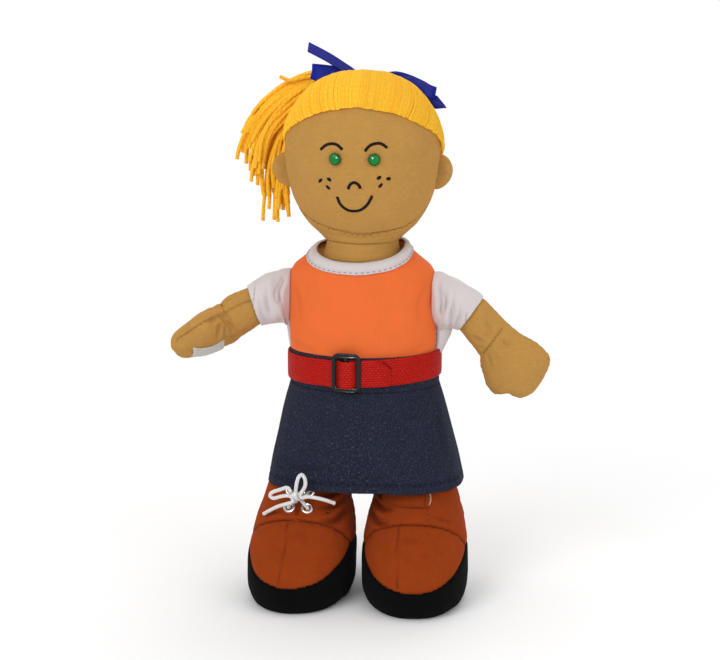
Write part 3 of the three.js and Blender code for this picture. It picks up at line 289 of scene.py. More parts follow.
COLOURS = {
    "skin": ("Skin cloth", "#BA8B48"),
    "orange": ("Orange jersey", "#E96E34"),
    "white": ("White jersey", "#D3CBCB"),
    "denim": ("Denim", "#1A1D2B"),
    "webbing": ("Belt webbing", "#BE1A12"),
    "yarn": ("Hair yarn", "#FFCB3C"),
    "satin": ("Ribbon", "#0E1A84"),
    "suede": ("Boot cloth", "#983C10"),
    "felt": ("Sole felt", "#070709"),
    "lace": ("Lace", "#EDEBEA"),
    "tape": ("Loop tape", "#D9D6CC"),
    "black": ("Black plastic", "#0A0A0B"),
    "green": ("Eye plastic", "#0A7A2E"),
}


def linear(code):
    """An sRGB hex colour as the linear values that the shader sockets take."""
    values = [int(code[i:i + 2], 16) / 255 for i in (1, 3, 5)]
    return tuple(v / 12.92 if v <= 0.04045 else ((v + 0.055) / 1.055) ** 2.4 for v in values) + (1.0,)


def shaded(colour, share):
    """The same colour, lighter or darker."""
    return tuple(min(1.0, c * share) for c in colour[:3]) + (1.0,)


def add(tree, kind, inputs=None, **settings):
    """A node with its settings and links. A node given as an input stands for its first output in use."""
    made = tree.nodes.new(kind)
    for name, value in settings.items():
        setattr(made, name, value)
    for key, value in (inputs or {}).items():
        if isinstance(value, bpy.types.Node):
            value = next(socket for socket in value.outputs if socket.enabled)
        if isinstance(value, bpy.types.NodeSocket):
            tree.links.new(value, made.inputs[key])
        else:
            made.inputs[key].default_value = value
    return made


# Curves and rows of sizes


def read_rows(rows, keys, monotone=True):
    """Rows of a key and values, read at other keys on a smooth curve through them."""
    rows = np.asarray(rows, float)
    x, y = rows[:, 0], rows[:, 1:]
    step = np.diff(x)[:, None]
    slope = np.diff(y, axis=0) / step
    tangent = np.empty_like(y)
    tangent[0], tangent[-1] = slope[0], slope[-1]
    if monotone:
        product = slope[:-1] * slope[1:]
        total = np.where(np.abs(slope[:-1] + slope[1:]) < 1e-12, 1, slope[:-1] + slope[1:])
        tangent[1:-1] = np.where(product > 0, 2 * product / total, 0)
    else:
        tangent[1:-1] = (slope[:-1] * step[1:] + slope[1:] * step[:-1]) / (step[:-1] + step[1:])
    keys = np.clip(np.asarray(keys, float), x[0], x[-1])
    i = np.clip(np.searchsorted(x, keys) - 1, 0, len(x) - 2)
    t = ((keys - x[i]) / (x[i + 1] - x[i]))[..., None]
    h = step[i]
    return (
        (1 + 2 * t) * (1 - t) ** 2 * y[i] + t * (1 - t) ** 2 * h * tangent[i]
        + t ** 2 * (3 - 2 * t) * y[i + 1] + t ** 2 * (t - 1) * h * tangent[i + 1]
    )


def smooth_path(points, count):
    """A smooth curve through the points, as evenly spaced points."""
    points = np.asarray(points, float)
    apart = np.linalg.norm(np.diff(points, axis=0), axis=1) > 1e-6
    points = points[np.append(True, apart)]
    keys = np.concatenate([[0], np.cumsum(np.linalg.norm(np.diff(points, axis=0), axis=1) ** 0.5)])
    dense = read_rows(np.column_stack([keys, points]), np.linspace(0, keys[-1], 40 * len(points)), False)
    run = np.concatenate([[0], np.cumsum(np.linalg.norm(np.diff(dense, axis=0), axis=1))])
    even = np.linspace(0, run[-1], count)
    return np.column_stack([np.interp(even, run, dense[:, k]) for k in range(3)])


def path_length(points):
    return float(np.linalg.norm(np.diff(np.asarray(points), axis=0), axis=1).sum())


def unit(vectors):
    vectors = np.asarray(vectors, float)
    return vectors / np.maximum(np.linalg.norm(vectors, axis=-1, keepdims=True), 1e-9)


def place(points):
    """Millimetres in the doll's frame to metres in the row frame."""
    return np.asarray(points, float) * MM + ORIGIN


def oval_ring(centre, wide, thick, half_wide, half_thick, angles, squareness=2.0):
    c, s = np.cos(angles), np.sin(angles)
    u = np.sign(c) * half_wide * np.abs(c) ** (2 / squareness)
    v = np.sign(s) * half_thick * np.abs(s) ** (2 / squareness)
    return np.asarray(centre) + np.outer(u, wide) + np.outer(v, thick)


def level_ring(centre, half_wide, half_deep, angles, squareness=2.0):
    """An oval ring that lies level, its width from side to side."""
    return oval_ring(centre, (1, 0, 0), (0, 1, 0), half_wide, half_deep, angles, squareness)


def turn_angles(count):
    return np.linspace(0, 2 * math.pi, count, endpoint=False)


# Meshes


def mesh_object(name, points, faces, uvs):
    """A smooth mesh object at the origin from points in millimetres."""
    mesh = bpy.data.meshes.new(name)
    mesh.from_pydata([tuple(p) for p in place(points)], [], faces)
    layer = mesh.uv_layers.new(name="UVMap")
    layer.data.foreach_set("uv", np.asarray(uvs, np.float32).ravel())
    mesh.update()
    mesh.shade_smooth()
    made = bpy.data.objects.new(name, mesh)
    bpy.context.scene.collection.objects.link(made)
    return made


def grid_faces(rows, columns, closed, looped):
    down = rows if looped else rows - 1
    across = columns if closed else columns - 1
    r, c = np.meshgrid(np.arange(down), np.arange(across), indexing="ij")
    r, c = r.ravel(), c.ravel()
    below, beside = (r + 1) % rows, (c + 1) % columns
    faces = np.column_stack([
        r * columns + c, r * columns + beside, below * columns + beside, below * columns + c,
    ])
    return faces, r, c


def grid_object(name, rings, closed=True, looped=False, poles=(False, False)):
    """A mesh through rows of points, with a map in metres: across the row, then along the rows."""
    rings = np.asarray(rings, float)
    rows, columns = rings.shape[:2]
    faces, r, c = grid_faces(rows, columns, closed, looped)
    around = np.linalg.norm(np.roll(rings, -1, axis=1) - rings, axis=2)
    if not closed:
        around = around[:, :-1]
    width = around.sum(axis=1).max() * MM / (columns if closed else columns - 1)
    steps = np.linalg.norm(np.roll(rings, -1, axis=0) - rings, axis=2).mean(axis=1) * MM
    along = np.concatenate([[0], np.cumsum(steps)])
    uvs = np.stack([
        np.column_stack([c * width, along[r]]), np.column_stack([(c + 1) * width, along[r]]),
        np.column_stack([(c + 1) * width, along[r + 1]]), np.column_stack([c * width, along[r + 1]]),
    ], axis=1)
    faces = [tuple(f) for f in faces.tolist()]
    uvs = uvs.reshape(-1, 2).tolist()
    points = rings.reshape(-1, 3)
    for end, wanted in zip((0, rows - 1), poles):
        if not wanted:
            continue
        points = np.vstack([points, rings[end].mean(axis=0)])
        tip = len(points) - 1
        for i in range(columns):
            a, b = end * columns + i, end * columns + (i + 1) % columns
            faces.append((tip, b, a) if end == 0 else (tip, a, b))
            corner = [(0.5 * columns * width, along[end])]
            near = [(i * width, along[end]), ((i + 1) * width, along[end])]
            uvs += corner + (near[::-1] if end == 0 else near)
    made = mesh_object(name, points, faces, uvs)
    if signed_volume(made) < 0:
        made.data.flip_normals()
    return made


def signed_volume(obj):
    """The volume that the faces close, about the mesh's own middle. Its sign tells which way they face."""
    points = np.array([v.co for v in obj.data.vertices])
    points = points - points.mean(axis=0)
    obj.data.calc_loop_triangles()
    corners = np.array([t.vertices for t in obj.data.loop_triangles])
    a, b, c = (points[corners[:, k]] for k in range(3))
    return float((a * np.cross(b, c)).sum() / 6)


def baked(obj):
    """The object with its modifiers turned into a plain mesh."""
    bpy.context.view_layer.update()
    depsgraph = bpy.context.evaluated_depsgraph_get()
    mesh = bpy.data.meshes.new_from_object(
        obj.evaluated_get(depsgraph), preserve_all_data_layers=True, depsgraph=depsgraph
    )
    mesh.name = obj.name
    obj.modifiers.clear()
    obj.data = mesh
    mesh.shade_smooth()
    return obj


def painted(obj, material):
    obj.data.materials.clear()
    obj.data.materials.append(material)
    return obj


def thickened(obj, thickness, offset=-1.0):
    """Gives a sheet its cloth thickness in millimetres, inwards unless told otherwise."""
    wall = obj.modifiers.new("Thickness", "SOLIDIFY")
    wall.thickness = thickness * MM
    wall.offset = offset
    return baked(obj)


def shaped(name, rings, key, looped=False):
    """A piece through rings of points, in its material, closed at both ends or joined end to end."""
    made = grid_object(name, rings, looped=looped, poles=(not looped, not looped))
    return painted(made, finish(key))


def part_of(whole, name, kept):
    """A copy of a mesh object with only the faces that are marked as kept."""
    part = bpy.data.objects.new(name, whole.data.copy())
    part.data.name = name
    bpy.context.scene.collection.objects.link(part)
    mesh = bmesh.new()
    mesh.from_mesh(part.data)
    bmesh.ops.delete(mesh, geom=[f for f in mesh.faces if not kept[f.index]], context="FACES")
    mesh.to_mesh(part.data)
    mesh.free()
    return part


def face_centres(obj):
    points, _ = read_points(obj)
    return np.array([points[list(face.vertices)].mean(axis=0) for face in obj.data.polygons])


def read_points(obj):
    """The mesh's points in the doll's millimetres, and its normals."""
    count = len(obj.data.vertices)
    points, normals = np.empty(count * 3), np.empty(count * 3)
    obj.data.vertices.foreach_get("co", points)
    obj.data.vertex_normals.foreach_get("vector", normals)
    return (points.reshape(-1, 3) - ORIGIN) / MM, normals.reshape(-1, 3)


def write_points(obj, points):
    obj.data.vertices.foreach_set("co", place(points).ravel())
    obj.data.update()


def line_distance(points, line):
    """Each point's distance from a line of points, and how far along the line it is."""
    line = np.asarray(line, float)
    nearest, along, run = np.full(len(points), 1e9), np.zeros(len(points)), 0.0
    for start, end in zip(line[:-1], line[1:]):
        d = end - start
        length = np.linalg.norm(d)
        t = np.clip((points - start) @ d / length ** 2, 0, 1)
        distance = np.linalg.norm(points - (start + t[:, None] * d), axis=1)
        closer = distance < nearest
        nearest[closer], along[closer] = distance[closer], run + t[closer] * length
        run += length
    return nearest, along


def shade_seam(obj, shade):
    """Keeps how much painted shade lies in a seam, fold or crease, for darkening the cloth's colour."""
    layer = obj.data.attributes.get("seam") or obj.data.attributes.new("seam", "FLOAT", "POINT")
    before = np.empty(len(shade), np.float32)
    layer.data.foreach_get("value", before)
    layer.data.foreach_set("value", np.maximum(before, shade).astype(np.float32))


def press_seam(obj, line, depth, width, pucker=0.0, spacing=5.0, shade=0.55):
    """Sinks the cloth along a seam, with puckers drawn up by its thread."""
    points, normals = read_points(obj)
    distance, along = line_distance(points, line)
    # Painted shade along the seam
    shade_seam(obj, shade * np.exp(-(distance / (0.75 * width)) ** 2))
    move = -depth * np.exp(-(distance / width) ** 2)
    if pucker:
        gathers = np.sin(2 * math.pi * along / spacing + 1.3 * np.sin(along * 0.23))
        move += pucker * gathers * np.exp(-(distance / (3 * width)) ** 2)
    write_points(obj, points + normals * move[:, None])


def press_folds(obj, folds, shade=0.2):
    """Folds as lines of points with a depth and a width each, deepest at their middles."""
    for line, depth, width in folds:
        points, normals = read_points(obj)
        path = smooth_path(line, 24)
        distance, along = line_distance(points, path)
        fade = np.clip(np.sin(math.pi * along / path_length(path)), 0, 1) ** 0.6
        groove = np.exp(-(distance / width) ** 2) - 0.45 * np.exp(-((distance - 2 * width) / width) ** 2)
        # Painted shade in each fold, deepest at its middle
        shade_seam(obj, min(0.75, shade * depth) * fade * np.exp(-(distance / width) ** 2))
        write_points(obj, points - normals * (depth * fade * groove)[:, None])


def dent(obj, centre, radius, depth):
    points, normals = read_points(obj)
    distance = np.linalg.norm(points - np.asarray(centre), axis=1)
    write_points(obj, points - normals * (depth * np.exp(-(distance / radius) ** 4))[:, None])


def ripple(obj, amount, size, seed, stretch=(1, 1, 1), mask=None):
    """Uneven stuffing or loose cloth: gentle lumps of a given size in millimetres."""
    points, normals = read_points(obj)
    shift = Vector((17.3 * seed, 5.1 * seed, 9.7 * seed))
    scaled = points / size * np.asarray(stretch, float)
    lumps = np.array([noise.noise(Vector(p) + shift) for p in scaled])
    if mask is not None:
        lumps = lumps * mask(points)
    write_points(obj, points + normals * (amount * lumps)[:, None])


def surface_of(obj):
    """The object's surface for seating things on, in the doll's millimetres."""
    points, _ = read_points(obj)
    return BVHTree.FromPolygons(points.tolist(), [tuple(p.vertices) for p in obj.data.polygons])


def seated(surface, line, lift=0.0):
    """Points moved onto the nearest surface, with the way out of it at each."""
    places, outward = [], []
    for point in line:
        spot, normal, _, _ = surface.find_nearest(Vector(point))
        places.append(spot + normal * lift)
        outward.append(normal)
    return np.array(places), np.array(outward)


def draped(surface, line):
    """Points of the front, given across and up, dropped onto the surface from in front."""
    places = []
    for x, z in line:
        hit, _, _, _ = surface.ray_cast(Vector((x, -300, z)), Vector((0, 1, 0)))
        places.append(tuple(hit))
    return places


def lines_object(name, lines, outward=None, values=None):
    """Lines of points as loose edges, with the way out and any other values kept on each point."""
    mesh = bpy.data.meshes.new(name)
    points, edges = [], []
    for line in lines:
        start = len(points)
        points += [tuple(p) for p in place(line)]
        edges += [(start + i, start + i + 1) for i in range(len(line) - 1)]
    mesh.from_pydata(points, edges, [])
    if outward is not None:
        layer = mesh.attributes.new("outward", "FLOAT_VECTOR", "POINT")
        layer.data.foreach_set("vector", np.vstack(outward).astype(np.float32).ravel())
    for key, numbers in (values or {}).items():
        layer = mesh.attributes.new(key, "FLOAT", "POINT")
        layer.data.foreach_set("value", np.asarray(numbers, np.float32))
    made = bpy.data.objects.new(name, mesh)
    bpy.context.scene.collection.objects.link(made)
    return made


# Geometry Nodes


def new_tree(name, inputs):
    """A geometry tree with named inputs: label, socket kind, default and description."""
    tree = bpy.data.node_groups.new(name, "GeometryNodeTree")
    tree.interface.new_socket("Geometry", in_out="INPUT", socket_type="NodeSocketGeometry")
    for label, kind, default, description in inputs:
        socket = tree.interface.new_socket(label, in_out="INPUT", socket_type=kind)
        socket.description = description
        if default is not None:
            socket.default_value = default
    tree.interface.new_socket("Geometry", in_out="OUTPUT", socket_type="NodeSocketGeometry")
    return tree, add(tree, "NodeGroupInput"), add(tree, "NodeGroupOutput")


def close_tree(tree, start, end, geometry):
    real = add(tree, "GeometryNodeRealizeInstances", {0: geometry})
    coloured = add(tree, "GeometryNodeSetMaterial", {"Geometry": real, "Material": start.outputs["Material"]})
    tree.links.new(coloured.outputs[0], end.inputs[0])
    return tree


def stitch_tree():
    """Stitches of thread laid along lines, each aligned with its line and the cloth below it."""
    tree, start, end = new_tree("Stitches", [
        ("Spacing", "NodeSocketFloat", 0.004, "Distance from one stitch to the next"),
        ("Stitch Length", "NodeSocketFloat", 0.0025, "Length of each stitch"),
        ("Thread Width", "NodeSocketFloat", 0.0007, "Width of the thread"),
        ("Thread Height", "NodeSocketFloat", 0.0006, "How far the thread stands out of the cloth, doubled"),
        ("Turn", "NodeSocketFloat", 0.0, "Angle of each stitch across its line"),
        ("Material", "NodeSocketMaterial", None, "The thread"),
    ])
    curve = add(tree, "GeometryNodeMeshToCurve", {0: start.outputs["Geometry"]})
    even = add(tree, "GeometryNodeResampleCurve", {0: curve, 3: start.outputs["Spacing"]}, mode="LENGTH")
    outward = add(tree, "GeometryNodeInputNamedAttribute", {"Name": "outward"}, data_type="FLOAT_VECTOR")
    along = add(tree, "GeometryNodeInputTangent")
    facing = add(
        tree, "FunctionNodeAxesToRotation", {0: outward, 1: along},
        primary_axis="Z", secondary_axis="X",
    )
    uneven = add(tree, "FunctionNodeRandomValue", {2: -0.12, 3: 0.12, "Seed": 5}, data_type="FLOAT")
    angle = add(tree, "ShaderNodeMath", {0: start.outputs["Turn"], 1: uneven}, operation="ADD")
    spin = add(tree, "FunctionNodeAxisAngleToRotation", {"Axis": (0, 0, 1), "Angle": angle})
    turned = add(
        tree, "FunctionNodeRotateRotation", {0: facing, 1: spin}, rotation_space="LOCAL",
    )
    size = add(tree, "ShaderNodeCombineXYZ", {
        0: start.outputs["Stitch Length"], 1: start.outputs["Thread Width"],
        2: start.outputs["Thread Height"],
    })
    bead = add(tree, "GeometryNodeMeshUVSphere", {"Segments": 8, "Rings": 6, "Radius": 0.5})
    stitch = add(tree, "GeometryNodeTransform", {"Geometry": bead, "Scale": size})
    laid = add(tree, "GeometryNodeInstanceOnPoints", {
        "Points": even, "Instance": stitch, "Rotation": turned,
    })
    return close_tree(tree, start, end, laid)


def yarn_tree():
    """Strands of yarn along lines, with their length and turn kept for the twist of the yarn."""
    tree, start, end = new_tree("Yarn", [
        ("Sides", "NodeSocketInt", 6, "Faces round each strand"),
        ("Material", "NodeSocketMaterial", None, "The yarn"),
    ])
    curve = add(tree, "GeometryNodeMeshToCurve", {0: start.outputs["Geometry"]})
    position = add(tree, "GeometryNodeSplineParameter")
    measured = add(
        tree, "GeometryNodeStoreNamedAttribute",
        {"Geometry": curve, "Name": "along", "Value": position.outputs["Length"]},
        data_type="FLOAT", domain="POINT",
    )
    radius = add(tree, "GeometryNodeInputNamedAttribute", {"Name": "radius_m"}, data_type="FLOAT")
    circle = add(tree, "GeometryNodeCurvePrimitiveCircle", {
        "Resolution": start.outputs["Sides"], "Radius": 1.0,
    })
    around = add(tree, "GeometryNodeSplineParameter")
    section = add(
        tree, "GeometryNodeStoreNamedAttribute",
        {"Geometry": circle, "Name": "around", "Value": around.outputs["Factor"]},
        data_type="FLOAT", domain="POINT",
    )
    strand = add(tree, "GeometryNodeCurveToMesh", {
        0: measured, 1: section, "Scale": radius, "Fill Caps": True,
    })
    smooth = add(tree, "GeometryNodeSetShadeSmooth", {0: strand})
    return close_tree(tree, start, end, smooth)


def eyelet_tree():
    """Rolled metal eyelets on points: a rounded flange and a barrel through the cloth."""
    tree, start, end = new_tree("Eyelets", [
        ("Outer Radius", "NodeSocketFloat", 0.0047, "Radius of the flange"),
        ("Bore Radius", "NodeSocketFloat", 0.0023, "Radius of the hole"),
        ("Roll Height", "NodeSocketFloat", 0.0009, "Height of the rolled flange"),
        ("Barrel Depth", "NodeSocketFloat", 0.003, "How far the barrel goes into the cloth"),
        ("Material", "NodeSocketMaterial", None, "The metal"),
    ])
    outer, bore = start.outputs["Outer Radius"], start.outputs["Bore Radius"]
    total = add(tree, "ShaderNodeMath", {0: outer, 1: bore}, operation="ADD")
    middle = add(tree, "ShaderNodeMath", {0: total, 1: 0.5}, operation="MULTIPLY")
    spread = add(tree, "ShaderNodeMath", {0: outer, 1: bore}, operation="SUBTRACT")
    half = add(tree, "ShaderNodeMath", {0: spread, 1: 0.5}, operation="MULTIPLY")
    flat = add(tree, "ShaderNodeCombineXYZ", {0: half, 1: start.outputs["Roll Height"], 2: 1.0})
    loop = add(tree, "GeometryNodeCurvePrimitiveCircle", {"Resolution": 40, "Radius": middle})
    bead = add(tree, "GeometryNodeCurvePrimitiveCircle", {"Resolution": 12, "Radius": 1.0})
    section = add(tree, "GeometryNodeTransform", {"Geometry": bead, "Scale": flat})
    flange = add(tree, "GeometryNodeCurveToMesh", {"Curve": loop, "Profile Curve": section})
    wall = add(tree, "ShaderNodeMath", {0: bore, 1: 0.0003}, operation="ADD")
    tube = add(tree, "GeometryNodeCurvePrimitiveCircle", {"Resolution": 40, "Radius": wall})
    deep = add(tree, "ShaderNodeMath", {0: start.outputs["Barrel Depth"], 1: 0.5}, operation="MULTIPLY")
    down = add(tree, "ShaderNodeMath", {0: deep, 1: -1.0}, operation="MULTIPLY")
    thin = add(tree, "ShaderNodeCombineXYZ", {0: 0.0003, 1: deep, 2: 1.0})
    barrel_bead = add(tree, "GeometryNodeCurvePrimitiveCircle", {"Resolution": 8, "Radius": 1.0})
    barrel_section = add(tree, "GeometryNodeTransform", {"Geometry": barrel_bead, "Scale": thin})
    barrel = add(tree, "GeometryNodeCurveToMesh", {
        "Curve": tube, "Profile Curve": barrel_section,
    })
    lowered = add(tree, "ShaderNodeCombineXYZ", {2: down})
    sunk = add(tree, "GeometryNodeTransform", {"Geometry": barrel, "Translation": lowered})
    both = add(tree, "GeometryNodeJoinGeometry")
    tree.links.new(sunk.outputs[0], both.inputs[0])
    tree.links.new(flange.outputs[0], both.inputs[0])
    outward = add(tree, "GeometryNodeInputNamedAttribute", {"Name": "outward"}, data_type="FLOAT_VECTOR")
    facing = add(
        tree, "FunctionNodeAxesToRotation", {0: outward, 1: (0.0, 0.0, 1.0)},
        primary_axis="Z", secondary_axis="X",
    )
    laid = add(tree, "GeometryNodeInstanceOnPoints", {
        "Points": start.outputs["Geometry"], "Instance": both, "Rotation": facing,
    })
    return close_tree(tree, start, end, laid)


def tree_named(name):
    made = bpy.data.node_groups.get(name)
    if made is None:
        made = {"Stitches": stitch_tree, "Yarn": yarn_tree, "Eyelets": eyelet_tree}[name]()
    return made


def grown(obj, tree_name, material, **values):
    """Runs a geometry tree on the object and keeps the result as its plain mesh."""
    tree = tree_named(tree_name)
    modifier = obj.modifiers.new(tree_name, "NODES")
    modifier.node_group = tree
    wanted = {key.replace("_", " ").title(): value for key, value in values.items()}
    wanted["Material"] = material
    for item in tree.interface.items_tree:
        if item.item_type == "SOCKET" and item.in_out == "INPUT" and item.name in wanted:
            modifier[item.identifier] = wanted[item.name]
    return baked(obj)


def sewn(name, surface, lines, thread, spacing=4.0, length=2.6, width=0.7, height=0.6, turn=0.0, lift=0.0):
    """Stitches on a surface along lines of points in millimetres."""
    routes, outward = [], []
    for line in lines:
        fine = smooth_path(line, max(8, int(path_length(line) / 1.5)))
        places, normals = seated(surface, fine, lift)
        routes.append(places)
        outward.append(normals)
    made = lines_object(name, routes, outward)
    return grown(
        made, "Stitches", thread, spacing=spacing * MM, stitch_length=length * MM, thread_width=width * MM,
        thread_height=height * MM, turn=turn,
    )


def settled(obj, body, slot, *nodes):
    """Hides the CAD parts that the piece stands for and sets what it moves with; the slot, what the piece is
    made of, is not used.
    """
    if nodes:
        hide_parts(*nodes)
    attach(obj, body)
    return obj


def painted_node(name, material):
    """A CAD part that keeps its shape gets the real material in all its slots."""
    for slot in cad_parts[name].material_slots:
        slot.material = material


# Materials


def colour_of(key):
    return tuple(getattr(bpy.context.scene.doll_colours, key)) + (1.0,)


def closed_shader(tree, base, height, depth, roughness, specular=0.5, sheen=0.0, nap=0.5, more=None):
    """The shader of a finish: its colour, its relief with a depth in metres, and how it shines."""
    # Painted shade: the colour darkens towards SEAM_SHADE where the seam attribute is high, in seams, folds
    # and creases
    seam = add(tree, "ShaderNodeAttribute", attribute_name="seam").outputs["Fac"]
    shade = add(
        tree, "ShaderNodeMix", {0: seam, 6: base, 7: SEAM_SHADE}, data_type="RGBA", blend_type="MULTIPLY",
    )
    bump = add(tree, "ShaderNodeBump", {"Height": height, "Distance": depth, "Strength": 1.0})
    shader = add(tree, "ShaderNodeBsdfPrincipled", {
        "Base Color": shade, "Normal": bump, "Roughness": roughness, "Specular IOR Level": specular,
        "Sheen Weight": sheen, "Sheen Roughness": nap, **(more or {}),
    })
    add(tree, "ShaderNodeOutputMaterial", {"Surface": shader})


def blotches(tree, spot, size_mm, detail, roughness=0.55, low=0.3, high=0.7):
    """Uneven lumps about this many millimetres across, stretched so that low becomes 0 and high becomes 1."""
    lumps = add(tree, "ShaderNodeTexNoise", {
        "Vector": spot, "Scale": 1 / (size_mm * MM), "Detail": detail, "Roughness": roughness,
    })
    return add(tree, "ShaderNodeMapRange", {"Value": lumps, "From Min": low, "From Max": high})


def toned(tree, colour, *layers):
    """The colour in layers: what varies, its shade at 0 and at 1, and how much it covers the layer below."""
    base = None
    for share, low, high, cover in layers:
        shades = {0: share, 6: shaded(colour, low), 7: shaded(colour, high)}
        tone = add(tree, "ShaderNodeMix", shades, data_type="RGBA")
        if base is None:
            base = tone
        else:
            base = add(tree, "ShaderNodeMix", {0: cover, 6: base, 7: tone}, data_type="RGBA")
    return base


def summed(tree, first, first_share, second, second_share):
    """Two values added up by their shares, for a height."""
    low = add(tree, "ShaderNodeMath", {0: second, 1: second_share}, operation="MULTIPLY")
    return add(tree, "ShaderNodeMath", {0: first, 1: first_share, 2: low}, operation="MULTIPLY_ADD")


def brushed_fleece(tree, spot, colour):
    """Cotton fleece brushed to a short nap: matt, finely speckled, and paler where light grazes it."""
    combed = add(tree, "ShaderNodeMapping", {"Vector": spot, "Scale": (0.45, 0.45, 1.0)})
    cloud = blotches(tree, spot, 14, 3.0)
    nap = blotches(tree, combed, 1.3, 4.0, 0.7)
    base = toned(tree, colour, (cloud, 0.93, 1.06, 1), (nap, 0.84, 1.12, 0.5))
    tint = {"Sheen Tint": shaded(colour, 1.25)}
    closed_shader(tree, base, summed(tree, nap, 0.7, cloud, 0.3), 0.00035, 0.95, 0.08, 0.08, more=tint)


def fine_jersey(tree, spot, colour):
    """Combed cotton jersey: smooth and matt, with the ribs of its knit 1.2 mm apart so that they show."""
    cloud = blotches(tree, spot, 22, 2.0)
    fuzz = blotches(tree, spot, 0.7, 3.0, 0.7, 0, 1)
    rib = add(tree, "ShaderNodeTexWave", {
        "Vector": spot, "Scale": WAVE_PERIOD / (1.2 * MM), "Distortion": 0.6, **LINES,
    }).outputs["Fac"]
    base = toned(tree, colour, (cloud, 0.95, 1.04, 1), (rib, 0.93, 1.03, 0.45))
    closed_shader(tree, base, summed(tree, rib, 0.5, fuzz, 0.6), 0.00016, 0.9, 0.08, 0.05, 0.4)


def indigo_denim(tree, spot, colour):
    """Raw denim: dark blue twill with diagonal lines 1.1 mm apart and pale flecks of undyed weft."""
    turned = add(tree, "ShaderNodeMapping", {"Vector": spot, "Rotation": (0, 0, math.radians(28))})
    twill = add(tree, "ShaderNodeTexWave", {
        "Vector": turned, "Scale": WAVE_PERIOD / (1.1 * MM), "Distortion": 0.8, **LINES,
    }).outputs["Fac"]
    threads = add(tree, "ShaderNodeMapping", {"Vector": spot, "Scale": (1.0, 0.35, 1.0)})
    fleck = blotches(tree, threads, 0.75, 2.0, 0.8, 0.5, 0.72)
    slub = blotches(tree, threads, 2.6, 3.0, 0.55, 0.42, 0.75)
    dark = toned(tree, colour, (blotches(tree, spot, 18, 2.0), 0.75, 1.15, 1))
    lined = add(tree, "ShaderNodeMix", {0: twill, 6: dark, 7: shaded(colour, 1.9)}, data_type="RGBA")
    blended = add(tree, "ShaderNodeMix", {0: 0.55, 6: dark, 7: lined}, data_type="RGBA")
    slubs = add(tree, "ShaderNodeMath", {0: slub, 1: 0.3, 2: 0.2}, operation="MULTIPLY_ADD")
    pale = add(tree, "ShaderNodeMath", {0: fleck, 1: slubs}, operation="MULTIPLY")
    base = add(tree, "ShaderNodeMix", {0: pale, 6: blended, 7: linear("#6E7590")}, data_type="RGBA")
    closed_shader(tree, base, summed(tree, twill, 0.6, fleck, 0.5), 0.0002, 0.92, 0.06, 0.03)


def ribbed_webbing(tree, spot, colour):
    """Woven polypropylene webbing: rows of small thread floats, 2.8 by 2.1 mm each, with painted shade in the
    gaps.
    """
    weave = add(tree, "ShaderNodeTexBrick", {
        "Vector": spot, "Color1": shaded(colour, 1.12), "Color2": shaded(colour, 0.92),
        "Mortar": shaded(colour, 0.42), "Scale": 1000.0, "Mortar Size": 0.36, "Mortar Smooth": 0.8,
        "Brick Width": 2.8, "Row Height": 2.1,
    }, offset=0.5)
    cloud = blotches(tree, spot, 9, 2.0)
    clouded = add(tree, "ShaderNodeMix", {0: cloud, 6: weave, 7: shaded(colour, 1.05)}, data_type="RGBA")
    base = add(tree, "ShaderNodeMix", {0: 0.3, 6: weave, 7: clouded}, data_type="RGBA")
    height = add(tree, "ShaderNodeMath", {0: 1.0, 1: weave.outputs["Fac"]}, operation="SUBTRACT")
    closed_shader(tree, base, height, 0.0003, 0.55, 0.06, 0.01, 0.4)


def acrylic_yarn(tree, spot, colour):
    """Soft acrylic knitting yarn: plies twisted once in 5 mm, painted orange shade between them, a slight
    halo.
    """
    along, around, tone = (
        add(tree, "ShaderNodeAttribute", attribute_name=name).outputs["Fac"]
        for name in ("along", "around", "tone")
    )
    twist = summed(tree, along, 2 * math.pi / YARN_TWIST, around, 4 * math.pi)
    wave = add(tree, "ShaderNodeMath", {0: twist}, operation="SINE")
    ply = add(tree, "ShaderNodeMath", {0: wave, 1: 0.5, 2: 0.5}, operation="MULTIPLY_ADD")
    fibre = blotches(tree, spot, 0.8, 3.0, 0.7, 0, 1)
    deep = (colour[0] * 0.95, colour[1] * 0.72, colour[2] * 0.3, 1.0)
    redder = (colour[0], colour[1] * 0.9, colour[2] * 0.7, 1.0)
    strand = add(tree, "ShaderNodeMix", {0: tone, 6: deep, 7: colour}, data_type="RGBA")
    raised = add(tree, "ShaderNodeMapRange", {"Value": ply, "From Min": 0.0, "From Max": 0.75})
    shade = add(tree, "ShaderNodeMath", {0: raised, 1: 0.5, 2: 0.5}, operation="MULTIPLY_ADD")
    # Painted shade: the grooves between the plies go towards a darker orange
    wound = add(tree, "ShaderNodeMix", {0: shade, 6: shaded(deep, 0.92), 7: strand}, data_type="RGBA")
    halo = add(tree, "ShaderNodeMapRange", {"Value": fibre, "From Min": 0.25, "From Max": 0.6})
    base = add(tree, "ShaderNodeMix", {0: halo, 6: shaded(redder, 0.95), 7: wound}, data_type="RGBA")
    tint = {"Sheen Tint": shaded(colour, 1.1)}
    closed_shader(tree, base, summed(tree, ply, 0.8, fibre, 0.4), 0.00025, 0.88, 0.1, 0.1, 0.4, tint)


def polyester_satin(tree, spot, colour):
    """Polyester satin ribbon: a smooth sheen that runs along the folds, with fine lines of weft across it."""
    weft = add(tree, "ShaderNodeTexWave", {
        "Vector": spot, "Scale": WAVE_PERIOD / (0.7 * MM), "Distortion": 0.2, **LINES,
    }, bands_direction="Y").outputs["Fac"]
    tone = toned(tree, colour, (blotches(tree, spot, 12, 2.0), 0.85, 1.2, 1))
    faint = add(tree, "ShaderNodeMath", {0: weft, 1: 0.4}, operation="MULTIPLY")
    base = add(tree, "ShaderNodeMix", {0: faint, 6: tone, 7: shaded(colour, 1.4)}, data_type="RGBA")
    more = {"Anisotropic": 0.4, "Sheen Tint": linear("#5C62D8")}
    closed_shader(tree, base, weft, 0.00006, 0.38, 0.06, 0.01, 0.35, more)


